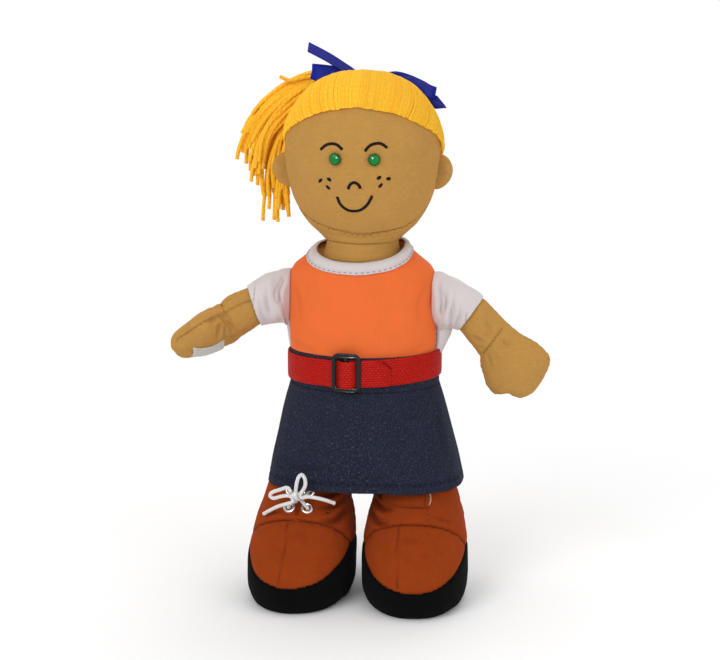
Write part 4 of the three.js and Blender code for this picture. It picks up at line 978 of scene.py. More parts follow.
def brushed_boot_cloth(tree, spot, colour):
    """Rust cloth brushed like suede: soft patches where the nap lies another way, and a close weave below."""
    patch = blotches(tree, spot, 11, 4.0, 0.6, 0.32, 0.68)
    nap = blotches(tree, spot, 1.1, 4.0, 0.75)
    weave = add(tree, "ShaderNodeTexWave", {
        "Vector": spot, "Scale": WAVE_PERIOD / (0.9 * MM), "Distortion": 1.5, **LINES,
    }).outputs["Fac"]
    base = toned(tree, colour, (patch, 0.86, 1.1, 1), (nap, 0.82, 1.16, 0.5))
    tint = {"Sheen Tint": linear("#D98A5A")}
    closed_shader(tree, base, summed(tree, nap, 0.7, weave, 0.35), 0.0003, 0.93, 0.06, 0.05, 0.45, tint)


def pressed_felt(tree, spot, colour):
    """Black wool felt, pressed: matt, with short fibres lying every way and a little grey lint."""
    fibre = blotches(tree, spot, 0.9, 5.0, 0.8)
    lint = blotches(tree, spot, 2.2, 4.0, 0.8, 0.62, 0.8)
    faint = add(tree, "ShaderNodeMath", {0: lint, 1: 0.3}, operation="MULTIPLY")
    tone = toned(tree, colour, (fibre, 0.75, 1.5, 1))
    base = add(tree, "ShaderNodeMix", {0: faint, 6: tone, 7: linear("#4A4A50")}, data_type="RGBA")
    closed_shader(tree, base, fibre, 0.0003, 0.97, 0.04, 0.01)


def braided_lace(tree, spot, colour):
    """Round braided cotton lace: strands that cross each way, 1.3 mm apart, matt, with painted grey shade in
    the gaps.
    """
    strands = []
    for angle in (38, -38):
        turned = add(tree, "ShaderNodeMapping", {"Vector": spot, "Rotation": (0, 0, math.radians(angle))})
        strands.append(add(tree, "ShaderNodeTexWave", {
            "Vector": turned, "Scale": WAVE_PERIOD / (1.3 * MM), **LINES,
        }, bands_direction="Y").outputs["Fac"])
    braid = add(tree, "ShaderNodeMath", {0: strands[0], 1: strands[1]}, operation="MAXIMUM")
    gap = add(tree, "ShaderNodeMapRange", {"Value": braid, "From Min": 0.2, "From Max": 0.8})
    fibre = blotches(tree, spot, 0.5, 3.0, 0.7, 0, 1)
    base = toned(tree, colour, (gap, 0.68, 1, 1))
    closed_shader(tree, base, summed(tree, braid, 0.8, fibre, 0.3), 0.0003, 0.85, 0.2, 0.15)


def napped_loop_tape(tree, spot, colour):
    """The loop side of hook-and-loop tape: a dense nap of fine nylon loops, about 0.8 mm across."""
    loops = add(tree, "ShaderNodeTexVoronoi", {"Vector": spot, "Scale": 1 / 0.0008})
    pit = add(tree, "ShaderNodeMapRange", {"Value": loops, "From Min": 0.1, "From Max": 0.7})
    nap = blotches(tree, spot, 0.9, 3.0, 0.8, 0, 1)
    # Painted shade: the pits between the loops are darker
    base = toned(tree, colour, (pit, 1.08, 0.7, 1))
    closed_shader(tree, base, summed(tree, pit, -0.7, nap, 0.5), 0.0004, 0.9, 0.25, 0.3)


def moulded_acetal(tree, spot, colour):
    """Injection-moulded black acetal: a soft gloss over a fine spark-eroded grain, paler where it is worn."""
    spark = blotches(tree, spot, 0.35, 2.0, 0.55, 0, 1)
    base = toned(tree, colour, (blotches(tree, spot, 3.0, 4.0, 0.7, 0.45, 0.75), 1, 1.4, 1))
    closed_shader(tree, base, spark, 0.00003, 0.24, 0.3, more={"IOR": 1.48})


def polished_acrylic(tree, spot, colour):
    """Cast acrylic, polished: clear deep green with a sharp highlight and faint swirls."""
    swirl = blotches(tree, spot, 2.5, 3.0)
    base = toned(tree, colour, (swirl, 0.82, 1.12, 1))
    more = {"IOR": 1.49, "Coat Weight": 0.22, "Coat Roughness": 0.02}
    closed_shader(tree, base, swirl, 0.00001, 0.06, 0.12, more=more)


def nickelled_steel(tree, spot, colour):
    """Pressed steel with bright nickel plate: mirror-like, with fine rolling marks and a few dull spots."""
    mark = blotches(tree, spot, 0.5, 3.0, 0.55, 0, 1)
    base = toned(tree, colour, (blotches(tree, spot, 2.0, 3.0, 0.55, 0.45, 0.8), 1, 0.8, 1))
    closed_shader(tree, base, mark, 0.00001, 0.2, more={"Metallic": 1.0})


def clear_polypropylene(tree, spot, colour):
    """Natural polypropylene, moulded: milky and half clear, with a dull skin."""
    milk = blotches(tree, spot, 4.0, 2.0)
    more = {"IOR": 1.49, "Transmission Weight": 0.5}
    closed_shader(tree, toned(tree, colour, (milk, 0.92, 1, 1)), milk, 0.00002, 0.35, more=more)


def sewing_thread(tree, spot, colour):
    """Spun polyester thread: a soft sheen, with shade between its turns about 0.4 mm apart."""
    fibre = blotches(tree, spot, 0.4, 3.0, 0.7)
    closed_shader(tree, toned(tree, colour, (fibre, 0.7, 1.25, 1)), fibre, 0.0001, 0.7, 0.12, 0.02)


def studio_paper(tree, spot, colour):
    """White background paper, matt with a faint tooth, that turns into plain light away from the doll."""
    tooth = blotches(tree, spot, 3, 3.0, 0.55, 0, 1)
    tone = add(tree, "ShaderNodeMix", {0: tooth, 6: PAPER_LOW, 7: PAPER_HIGH}, data_type="RGBA")
    paper = add(tree, "ShaderNodeBsdfDiffuse", {"Color": tone})
    lit = add(tree, "ShaderNodeEmission", {"Color": colour, "Strength": 1.0})
    distance = add(tree, "ShaderNodeVectorMath", {0: spot}, operation="LENGTH").outputs["Value"]
    far = add(tree, "ShaderNodeMapRange", {"Value": distance, "From Min": 0.15, "From Max": 0.6})
    shader = add(tree, "ShaderNodeMixShader", {0: far, 1: paper, 2: lit})
    add(tree, "ShaderNodeOutputMaterial", {"Surface": shader})


# What builds each finish, its name, where its pattern lies and its colour if a user can't change it
FINISHES = {
    "skin": (brushed_fleece, "brushed cotton fleece", "Object", None),
    "orange": (fine_jersey, "orange cotton jersey", "Object", None),
    "white": (fine_jersey, "white cotton jersey", "Object", None),
    "denim": (indigo_denim, "raw denim twill", "UV", None),
    "webbing": (ribbed_webbing, "woven polypropylene webbing", "UV", None),
    "yarn": (acrylic_yarn, "twisted acrylic yarn", "Object", None),
    "satin": (polyester_satin, "polyester satin", "UV", None),
    "suede": (brushed_boot_cloth, "brushed rust cloth", "Object", None),
    "felt": (pressed_felt, "pressed wool felt", "Object", None),
    "lace": (braided_lace, "braided cotton lace", "UV", None),
    "tape": (napped_loop_tape, "nylon loop tape", "Object", None),
    "black": (moulded_acetal, "moulded acetal", "Object", None),
    "green": (polished_acrylic, "polished acrylic", "Object", None),
    "steel": (nickelled_steel, "nickelled steel", "Object", "#C9C9C6"),
    "clear": (clear_polypropylene, "moulded polypropylene", "Object", "#E8E8E4"),
    "black_thread": (sewing_thread, "black embroidery thread", "Object", "#060505"),
    "brown_thread": (sewing_thread, "brown sewing thread", "Object", "#80582A"),
    "navy_thread": (sewing_thread, "navy sewing thread", "Object", "#20264F"),
    "white_thread": (sewing_thread, "white sewing thread", "Object", "#CFC8C8"),
    "grey_thread": (sewing_thread, "grey sewing thread", "Object", "#86828A"),
    "rust_thread": (sewing_thread, "rust sewing thread", "Object", "#6E2B10"),
    "paper": (studio_paper, "white studio paper", "Object", "#FFFFFF"),
}


def finish(key):
    """The named material, made the first time that a piece asks for it."""
    build, name, space, code = FINISHES[key]
    material = bpy.data.materials.get(name)
    if material is None:
        material = bpy.data.materials.new(name)
        material.use_nodes = True
        tree = material.node_tree
        tree.nodes.clear()
        spot = add(tree, "ShaderNodeTexCoord").outputs[space]
        build(tree, spot, linear(code) if code else colour_of(key))
    return material


# Shapes that several pieces share


def torso_point(angles, height, offset):
    half_wide, half_deep = (float(v) for v in read_rows(TORSO, [height])[0])
    return level_ring(
        (0, 0, HIP_Z + height), half_wide + offset, half_deep + offset, angles
    )


def torso_ring_on_slant(angles, rise, offset):
    """A ring of the torso at a distance above the tilted plane of the neckline."""
    ring = torso_point(angles, NECKLINE_HEIGHT, offset)
    shoulder = np.cos(angles) ** 2
    rise = rise * (1 - 0.4 * shoulder) + NECKLINE_SHOULDER_RISE * shoulder
    for _ in range(4):
        height = NECKLINE_HEIGHT + rise + ring[:, 1] * math.tan(NECKLINE_TILT) + ring[:, 0] * NECKLINE_LEAN
        half = read_rows(TORSO, height)
        ring = np.column_stack([
            (half[:, 0] + offset) * np.cos(angles), (half[:, 1] + offset) * np.sin(angles), HIP_Z + height,
        ])
    return ring


def torso_rows(angles, offset, low, levels):
    """Rows of the torso from a level height up to the neckline's tilted plane."""
    top = torso_ring_on_slant(angles, 0.0, offset)
    rows = []
    for share in np.linspace(0, 1, levels):
        heights = low + (top[:, 2] - HIP_Z - low) * share
        half = read_rows(TORSO, heights)
        rows.append(np.column_stack([
            (half[:, 0] + offset) * np.cos(angles), (half[:, 1] + offset) * np.sin(angles), HIP_Z + heights,
        ]))
    return np.array(rows)


def head_surface():
    """The head's plain outside, crown included, for seating yarn on."""
    rings = []
    for height in np.concatenate([np.linspace(4, 110, 60), np.linspace(112, 126.5, 24)]):
        half = float(read_rows(HEAD, [height])[0, 0])
        rings.append(level_ring((0, 0, BALL_Z + height), half, half * HEAD_DEPTH, turn_angles(112)))
    rings = np.array(rings)
    rows, columns = rings.shape[:2]
    faces, _, _ = grid_faces(rows, columns, True, False)
    points = np.vstack([rings.reshape(-1, 3), [[0, 0, BALL_Z + 127.2]]])
    top = (rows - 1) * columns
    crown = [(top + i, top + (i + 1) % columns, len(points) - 1) for i in range(columns)]
    return BVHTree.FromPolygons(points.tolist(), [tuple(f) for f in faces.tolist()] + crown)


def arm_frames(name):
    """Directions along and across the arm and the forearm, as vectors in the doll's frame."""
    side, drop, forward, twist, lift = ARMS[name]
    shoulder = Vector((side * SHOULDER[0], SHOULDER[1], SHOULDER[2]))
    yaw = Quaternion((0, 0, 1), -side * math.radians(forward))
    along = yaw @ Vector((side * math.cos(math.radians(drop)), 0, -math.sin(math.radians(drop))))
    back = yaw @ Vector((0, 1, 0))
    rise = back.cross(along).normalized()
    if rise.z < 0:
        rise.negate()

    def turned(share):
        spin = Quaternion(along, -side * math.radians(twist * share))
        return spin @ rise, spin @ back

    across, palm = turned(1)
    bend = Quaternion(palm, side * math.radians(THUMB_BEND))
    lifted = Quaternion(across, -side * math.radians(lift))
    return {
        "name": name, "side": side, "shoulder": shoulder, "along": along, "turned": turned,
        "across": across, "palm": palm, "elbow": shoulder + along * UPPER_ARM_LENGTH,
        "fore_along": lifted @ (bend @ along), "fore_across": bend @ across, "fore_palm": lifted @ palm,
    }


def arm_lift(name, distance):
    """How far the stuffing holds the arm and its sleeve above the straight line from the shoulder."""
    return float(read_rows(ARM_LIFT[name], [distance])[0, 0])


def boot_row(z):
    front, back, half_wide = (float(v) for v in read_rows(BOOT, [z])[0])
    return (front + back) / 2, (back - front) / 2, half_wide


def boot_front(x, z, offset=0.0):
    """The front of the boot at a place across and up, with the way out of it, in the boot's own frame."""

    def depth(px, pz):
        middle, half_long, half_wide = boot_row(pz)
        share = max(0.0, 1 - abs(px / (half_wide + offset)) ** BOOT_SQUARENESS) ** (1 / BOOT_SQUARENESS)
        return middle - (half_long + offset) * share

    step = 0.6
    slope_x = (depth(x + step, z) - depth(x - step, z)) / (2 * step)
    slope_z = (depth(x, z + step) - depth(x, z - step)) / (2 * step)
    return np.array([x, depth(x, z), z]), unit(np.array([slope_x, -1.0, slope_z]))


def boot_to_doll(points, side):
    """From the boot's own frame to the doll's."""
    points = np.asarray(points, float)
    c, s = math.cos(side * TOES_OUT), math.sin(side * TOES_OUT)
    x, y = points[..., 0] * c - points[..., 1] * s, points[..., 0] * s + points[..., 1] * c
    return np.stack([x + side * FOOT_X, y, points[..., 2]], axis=-1)


def doll_to_boot(points, side):
    points = np.asarray(points, float)
    x, y = points[..., 0] - side * FOOT_X, points[..., 1]
    c, s = math.cos(side * TOES_OUT), math.sin(side * TOES_OUT)
    return np.stack([x * c + y * s, -x * s + y * c, points[..., 2]], axis=-1)


def boot_direction(vectors, side):
    return boot_to_doll(vectors, side) - np.array([side * FOOT_X, 0, 0])


def tube_object(name, path, radius, sides=14, taper=None):
    """A round tube along a path, with rounded ends and a map in metres."""
    path = np.asarray(path, float)
    tangents = unit(np.gradient(path, axis=0))
    normal = unit(np.cross(tangents[0], (0.13, 0.9, 0.41)))
    rings = []
    angles = turn_angles(sides)
    radii = np.full(len(path), float(radius)) if taper is None else radius * np.asarray(taper)
    for point, tangent, size in zip(path, tangents, radii):
        normal = unit(normal - tangent * (normal @ tangent))
        side = np.cross(tangent, normal)
        rings.append(point + size * (np.outer(np.cos(angles), normal) + np.outer(np.sin(angles), side)))
    rings = np.array(rings)
    first = path[0] + (rings[0] - path[0]) * 0.6 - tangents[0] * radius * 0.15
    last = path[-1] + (rings[-1] - path[-1]) * 0.6 + tangents[-1] * radius * 0.15
    return grid_object(name, np.concatenate([[first], rings, [last]]), poles=(True, True))


def strip_rings(path, wide, half_wide, half_thick, slant, samples):
    """Rings of a flat strip: its width lies along wide, and slant moves its last part by place across it."""
    tangents = unit(np.gradient(path, axis=0))
    widths = np.broadcast_to(half_wide, len(path))
    rings = []
    for i, (point, tangent, width) in enumerate(zip(path, tangents, widths)):
        out = unit(np.cross(tangent, wide))
        across = unit(np.cross(out, tangent))
        top, low = [], []
        for share in np.linspace(-1, 1, samples):
            edge = 1 - 0.45 * abs(share) ** 8
            moved = point + across * share * width + tangent * slant(i, share)
            top.append(moved + out * half_thick * edge)
            low.append(moved - out * half_thick * edge)
        rings.append(np.array(top + low[::-1]))
    return np.array(rings)


# Sizes and colours that a user may change


class DollSizes(bpy.types.PropertyGroup):
    """Sizes that a user of the doll may change."""

    stitch_spacing: bpy.props.FloatProperty(
        name="Stitch spacing", description="Distance from one seam stitch to the next",
        default=0.0042, min=0.001, subtype="DISTANCE", unit="LENGTH",
    )
    thread_width: bpy.props.FloatProperty(
        name="Thread width", description="Width of the sewing thread, coarse enough to show",
        default=0.0008, min=0.0002, subtype="DISTANCE", unit="LENGTH",
    )
    embroidery_width: bpy.props.FloatProperty(
        name="Embroidery width", description="Width of the satin stitches of the face",
        default=0.0024, min=0.0005, subtype="DISTANCE", unit="LENGTH",
    )
    yarn_radius: bpy.props.FloatProperty(
        name="Yarn radius", description="Half the thickness of a strand of hair yarn",
        default=0.00128, min=0.0004, subtype="DISTANCE", unit="LENGTH",
    )
    cap_strands: bpy.props.IntProperty(
        name="Hair strands", description="Strands of yarn from the hairline to the tie", default=204, min=20,
    )
    ponytail_strands: bpy.props.IntProperty(
        name="Ponytail strands", description="Strands of yarn in the ponytail", default=150, min=20,
    )
    skirt_fold_depth: bpy.props.FloatProperty(
        name="Skirt folds", description="Depth of the skirt's seven soft folds",
        default=0.0007, min=0.0, subtype="DISTANCE", unit="LENGTH",
    )
    stuffing_lumps: bpy.props.FloatProperty(
        name="Stuffing lumps", description="How far the stuffing stands out unevenly",
        default=0.0005, min=0.0, subtype="DISTANCE", unit="LENGTH",
    )


def colour_property(label, code):
    return bpy.props.FloatVectorProperty(
        name=label, description=f"Colour of the {label.lower()}", subtype="COLOR", size=3, min=0.0, max=1.0,
        default=linear(code)[:3],
    )


class DollColours(bpy.types.PropertyGroup):
    """Colours of the cloth, yarn and plastic."""

    __annotations__ = {key: colour_property(*entry) for key, entry in COLOURS.items()}


def sizes():
    return bpy.context.scene.doll_sizes


def seam_stitches(name, surface, lines, thread, body, slot, **settings):
    """A row of seam stitches in the user's size, riding with what it sews."""
    values = {"spacing": sizes().stitch_spacing / MM, "width": sizes().thread_width / MM}
    values.update(settings)
    return settled(sewn(name, surface, lines, finish(thread), **values), body, slot)


# Operators, one for each piece or group of like pieces


class DOLL_OT_camera(bpy.types.Operator):
    """Sets the camera where the photograph was taken from"""

    bl_idname = "doll.camera"
    bl_label = "Camera"

    def execute(self, context):
        lens = bpy.data.cameras.new("camera")
        lens.lens = CAMERA["lens"]
        lens.sensor_width = CAMERA["sensor"]
        camera = bpy.data.objects.new("camera", lens)
        context.scene.collection.objects.link(camera)
        camera.location = CAMERA["place"]
        camera.rotation_euler = (math.radians(90 - CAMERA["down"]), 0, math.radians(CAMERA["round"]))
        context.scene.camera = camera
        return {"FINISHED"}


class DOLL_OT_laces(bpy.types.Operator):
    """Makes the tied lace of the right boot: two free ends with their loops, the knot and the crossings"""

    bl_idname = "doll.laces"
    bl_label = "Laces"

    def execute(self, context):
        lace = finish("lace")
        routes = {
            "lace_end_inner": (LACE_A, ("lace_loop_top", "lace_tail_a")),
            "lace_end_outer": (LACE_B, ("lace_loop_side", "lace_tail_b")),
        }
        for name, (route, nodes) in routes.items():
            path = boot_to_doll(smooth_path(route, 70), -1)
            taper = np.ones(len(path))
            taper[-3:] = (1.02, 1.08, 1.1)
            obj = painted(tube_object(name, path, LACE_RADIUS, taper=taper), lace)
            settled(obj, "right_leg", "white_lace", *nodes)
        self.make_knot(lace)
        self.make_crossings(lace)
        return {"FINISHED"}

    def make_knot(self, lace):
        """The half knot as the lace passes over itself: two turns beside each other."""
        (kx, ky, kz), (_, deep, tall) = LACE_KNOT
        parts = []
        for number, (shift, lean) in enumerate(((-1.1, 0.5), (1.3, -0.45))):
            t = np.linspace(0, 2 * math.pi, 26, endpoint=False)
            x = kx + shift + 1.5 * np.sin(t) * lean + 0.9 * np.cos(t)
            y = ky + (deep - 1.3) * np.cos(t + 0.3)
            z = kz + (tall - 1.2) * np.sin(t)
            path = np.column_stack([x, y, z])
            path = np.vstack([path, path[:2]])
            name = f"lace_knot_turn_{number + 1}"
            part = tube_object(name, boot_to_doll(path, -1), LACE_RADIUS * 0.98, sides=12)
            parts.append(painted(part, lace))
        centre = boot_to_doll([(kx, ky + 0.4, kz)], -1)[0]
        core = [
            level_ring(centre + (0, 0, h), 2.4 * r, 1.8 * r, turn_angles(14))
            for h, r in ((-2.2, 0.5), (-1.4, 0.85), (0, 1.0), (1.4, 0.85), (2.2, 0.5))
        ]
        core = shaped("lace_knot_core", core, "lace")
        settled(core, "right_leg", "white_lace", "lace_knot")
        for part in parts:
            settled(part, "right_leg", "white_lace")

    def make_crossings(self, lace):
        """The short pieces from the eyelets to the middle of the slit and up to the knot."""
        middle, out = boot_front(0, EYELETS[0][1] + 4.6)
        middle = middle + out * (LACE_RADIUS - 0.9)
        (kx, ky, kz), (_, deep, _) = LACE_KNOT
        for letter, side in (("a", 1), ("b", -1)):
            low, low_out = boot_front(side * EYELETS[1][0], EYELETS[1][1])
            high, high_out = boot_front(side * EYELETS[3][0], EYELETS[3][1])
            cross = [
                low - 2 * low_out, low + 1.6 * low_out, (side * 4.4, (low + 2.8 * low_out)[1] - 0.2, 74.1),
                (side * (LACE_RADIUS + 0.25), middle[1] - 0.8, middle[2] + 0.6 * side),
            ]
            rise = [
                high - 2 * high_out, high + 1.8 * high_out, (side * 5, ky + 8, kz - 2.4),
                (kx + side * 2.6, ky + deep + 1, kz - 0.6),
            ]
            for name, route in ((f"lace_cross_{letter}", cross), (f"lace_rise_{letter}", rise)):
                path = boot_to_doll(smooth_path(route, 20), -1)
                obj = painted(tube_object(f"{name}_braid", path, LACE_RADIUS), lace)
                settled(obj, "right_leg", "white_lace", name)


class DOLL_OT_head(bpy.types.Operator):
    """Makes the stuffed head with its ears, its seams and the embroidered face"""

    bl_idname = "doll.head"
    bl_label = "Head and face"

    def execute(self, context):
        head = self.make_head()
        surface = surface_of(head)
        self.make_ears()
        self.embroider(surface)
        self.make_eyes()
        self.make_neck()
        return {"FINISHED"}

    def make_head(self):
        angles = turn_angles(232)
        socket, rim = NECK_RADIUS + 1.0, 6.4
        rings = []
        for height in np.linspace(socket * 0.985, rim, 16):
            radius = math.sqrt(socket ** 2 - height ** 2)
            rings.append(level_ring((0, 0, BALL_Z + height), radius, radius, angles))
        heights = [np.linspace(rim, 20, 34), np.linspace(20.5, 112, 84), np.linspace(113, 126.5, 22)]
        for height in np.concatenate(heights):
            half = float(read_rows(HEAD, [height])[0, 0])
            least = math.sqrt(socket ** 2 - min(height, rim) ** 2) + 0.4 + 0.35 * max(0.0, height - rim)
            least = least if height < 11 else 0
            wide = max(half, least)
            deep = max(half * HEAD_DEPTH, least)
            rings.append(level_ring((0, 0, BALL_Z + height), wide, deep, angles))
        head = shaped("head_stuffed", rings, "skin")
        lumps = sizes().stuffing_lumps / MM
        ripple(head, lumps, 26, 1)
        ripple(head, lumps * 0.35, 9, 2)
        chin, _ = seated(surface_of(head), smooth_path(CHIN_SEAM, 60))
        press_seam(head, chin, 1.1, 1.3, pucker=0.08, spacing=7.5, shade=0.35)
        for side in (-1, 1):
            edge = [(side * 70, -3.5, BALL_Z + h) for h in np.linspace(24, 100, 30)]
            line, _ = seated(surface_of(head), edge)
            press_seam(head, line, 1.2, 1.2, pucker=0.18, spacing=6.5, shade=0.6)
        centre_back = [(0, 60, BALL_Z + h) for h in np.linspace(12, 100, 30)]
        line, _ = seated(surface_of(head), centre_back)
        press_seam(head, line, 1.0, 1.4, pucker=0.15, spacing=6.0)
        for side in (-1, 1):
            spot = draped(surface_of(head), [(side * EYE["apart"] / 2, BALL_Z + EYE["height"])])[0]
            dent(head, spot, 6.5, 0.7)
        settled(head, "head", "skin_cloth", "head")
        seam_stitches(
            "chin_stitches", surface_of(head), [CHIN_SEAM], "brown_thread", "head", "skin_cloth",
            length=1.6, width=0.7, height=0.5,
        )
        return head

    def make_ears(self):
        for name, side in (("right", -1), ("left", 1)):
            middle = Vector((side * EAR["from_middle"], EAR["back"], BALL_Z + EAR["height"]))
            rings = []
            for lift in np.sin(np.linspace(-math.pi / 2, math.pi / 2, 31)[1:-1]):
                size = math.sqrt(1 - lift ** 2)
                full = EAR["half_thickness"] * (1 - lift ** 2) ** 0.75
                level = EAR["height"] + lift * EAR["half_height"]
                beside = min(middle.x * side, float(read_rows(HEAD, [level])[0, 0]) + 0.9)
                centre = (side * beside, middle.y, BALL_Z + level)
                ring = oval_ring(
                    centre, (side, 0, 0), (0, 1, 0), EAR_REACH[name] * size, full, turn_angles(40), 1.7
                )
                inner = side * ring[:, 0] < beside - 2.5
                ring[inner, 0] = side * (beside - 2.5)
                rings.append(ring)
            ear = shaped(f"{name}_ear_stuffed", rings, "skin")
            ripple(ear, 0.35, 8, 3 + side)
            inner = [(middle.x + side * 2.5, middle.y - 8, middle.z + h) for h in (-8, -3, 2, 7)]
            press_seam(ear, smooth_path(inner, 16), 0.7, 5.0)
            settled(ear, "head", "skin_cloth", f"{name}_ear")

    def embroider(self, surface):
        thread = finish("black_thread")
        width = sizes().embroidery_width / MM
        rows = [(line, width) for line in BROWS] + [(NOSE, width * 1.05), (SMILE, width * 1.05)]
        for number, (line, wide) in enumerate(rows):
            path = smooth_path(draped(surface, line), 60)
            made = sewn(
                f"face_line_{number + 1}", surface, [path], thread, spacing=0.34, length=wide, width=0.6,
                height=0.85, turn=math.radians(78), lift=0.08,
            )
            settled(made, "head", "skin_cloth")
        dots = []
        for x, z, lean in FRECKLES:
            for shift, reach in ((-0.9, 0.6), (-0.45, 1.0), (0.0, 1.25), (0.45, 1.0), (0.9, 0.6)):
                level, rise = z + shift, lean * reach
                ends = [(x - reach, level - rise), (x, level), (x + reach * 0.9, level + rise)]
                dots.append(draped(surface, ends))
        made = sewn(
            "freckles", surface, dots, thread, spacing=0.5, length=1.3, width=0.75, height=0.9, lift=0.05,
        )
        settled(made, "head", "skin_cloth")

    def make_eyes(self):
        half = float(read_rows(HEAD, [EYE["height"]])[0, 0])
        deep = half * HEAD_DEPTH
        for name, side in (("right", -1), ("left", 1)):
            x = side * EYE["apart"] / 2
            centre = np.array([x, -deep * math.sqrt(1 - (x / half) ** 2), BALL_Z + EYE["height"]])
            out = unit(np.array([x / half ** 2, centre[1] / deep ** 2, 0]))
            wide = unit(np.cross(out, (0, 0, 1)))
            tall = np.cross(wide, out)
            shank = EYE["shank"]
            profile = [(shank * 0.7, -8.6), (shank, -8.2), (shank, -0.2), (4.0, -0.1), (4.4, 0.2)]
            for t in np.linspace(0, math.pi / 2, 12)[:-1]:
                profile.append((EYE["radius"] * math.cos(t), EYE["rim"] + EYE["dome"] * math.sin(t)))
            rings = [oval_ring(centre + out * h, wide, tall, r, r, turn_angles(40)) for r, h in profile]
            eye = shaped(f"{name}_eye_dome", rings, "green")
            points, _ = read_points(eye)
            # Painted shade: the dome darkens towards its rim
            from_axis = np.linalg.norm(np.cross(points - centre, out), axis=1)
            shade_seam(eye, 0.9 * np.clip((from_axis - 2.9) / 1.3, 0, 1))
            settled(eye, "head", "green_plastic", f"{name}_eye")
            painted_node(f"{name}_eye_washer", finish("clear"))

    def make_neck(self):
        angles = turn_angles(96)
        bulge = np.sin(np.linspace(0.2, 2.7, 14)) * 1.2 + np.clip(np.linspace(2.8, -0.6, 14), 0, 1.6)
        profile = [(251.2, 26.2)]
        profile += [(z, NECK_RADIUS + more) for z, more in zip(np.linspace(252, BALL_Z, 14), bulge)]
        for t in np.linspace(0.05, 1.5, 24):
            profile.append((BALL_Z + NECK_RADIUS * math.sin(t), NECK_RADIUS * math.cos(t)))
        rings = [level_ring((0, 0, z), radius, radius, angles) for z, radius in profile]
        neck = shaped("neck_stuffed", rings, "skin")
        press_folds(neck, NECK_FOLDS)
        settled(neck, "neck", "skin_cloth", "neck")


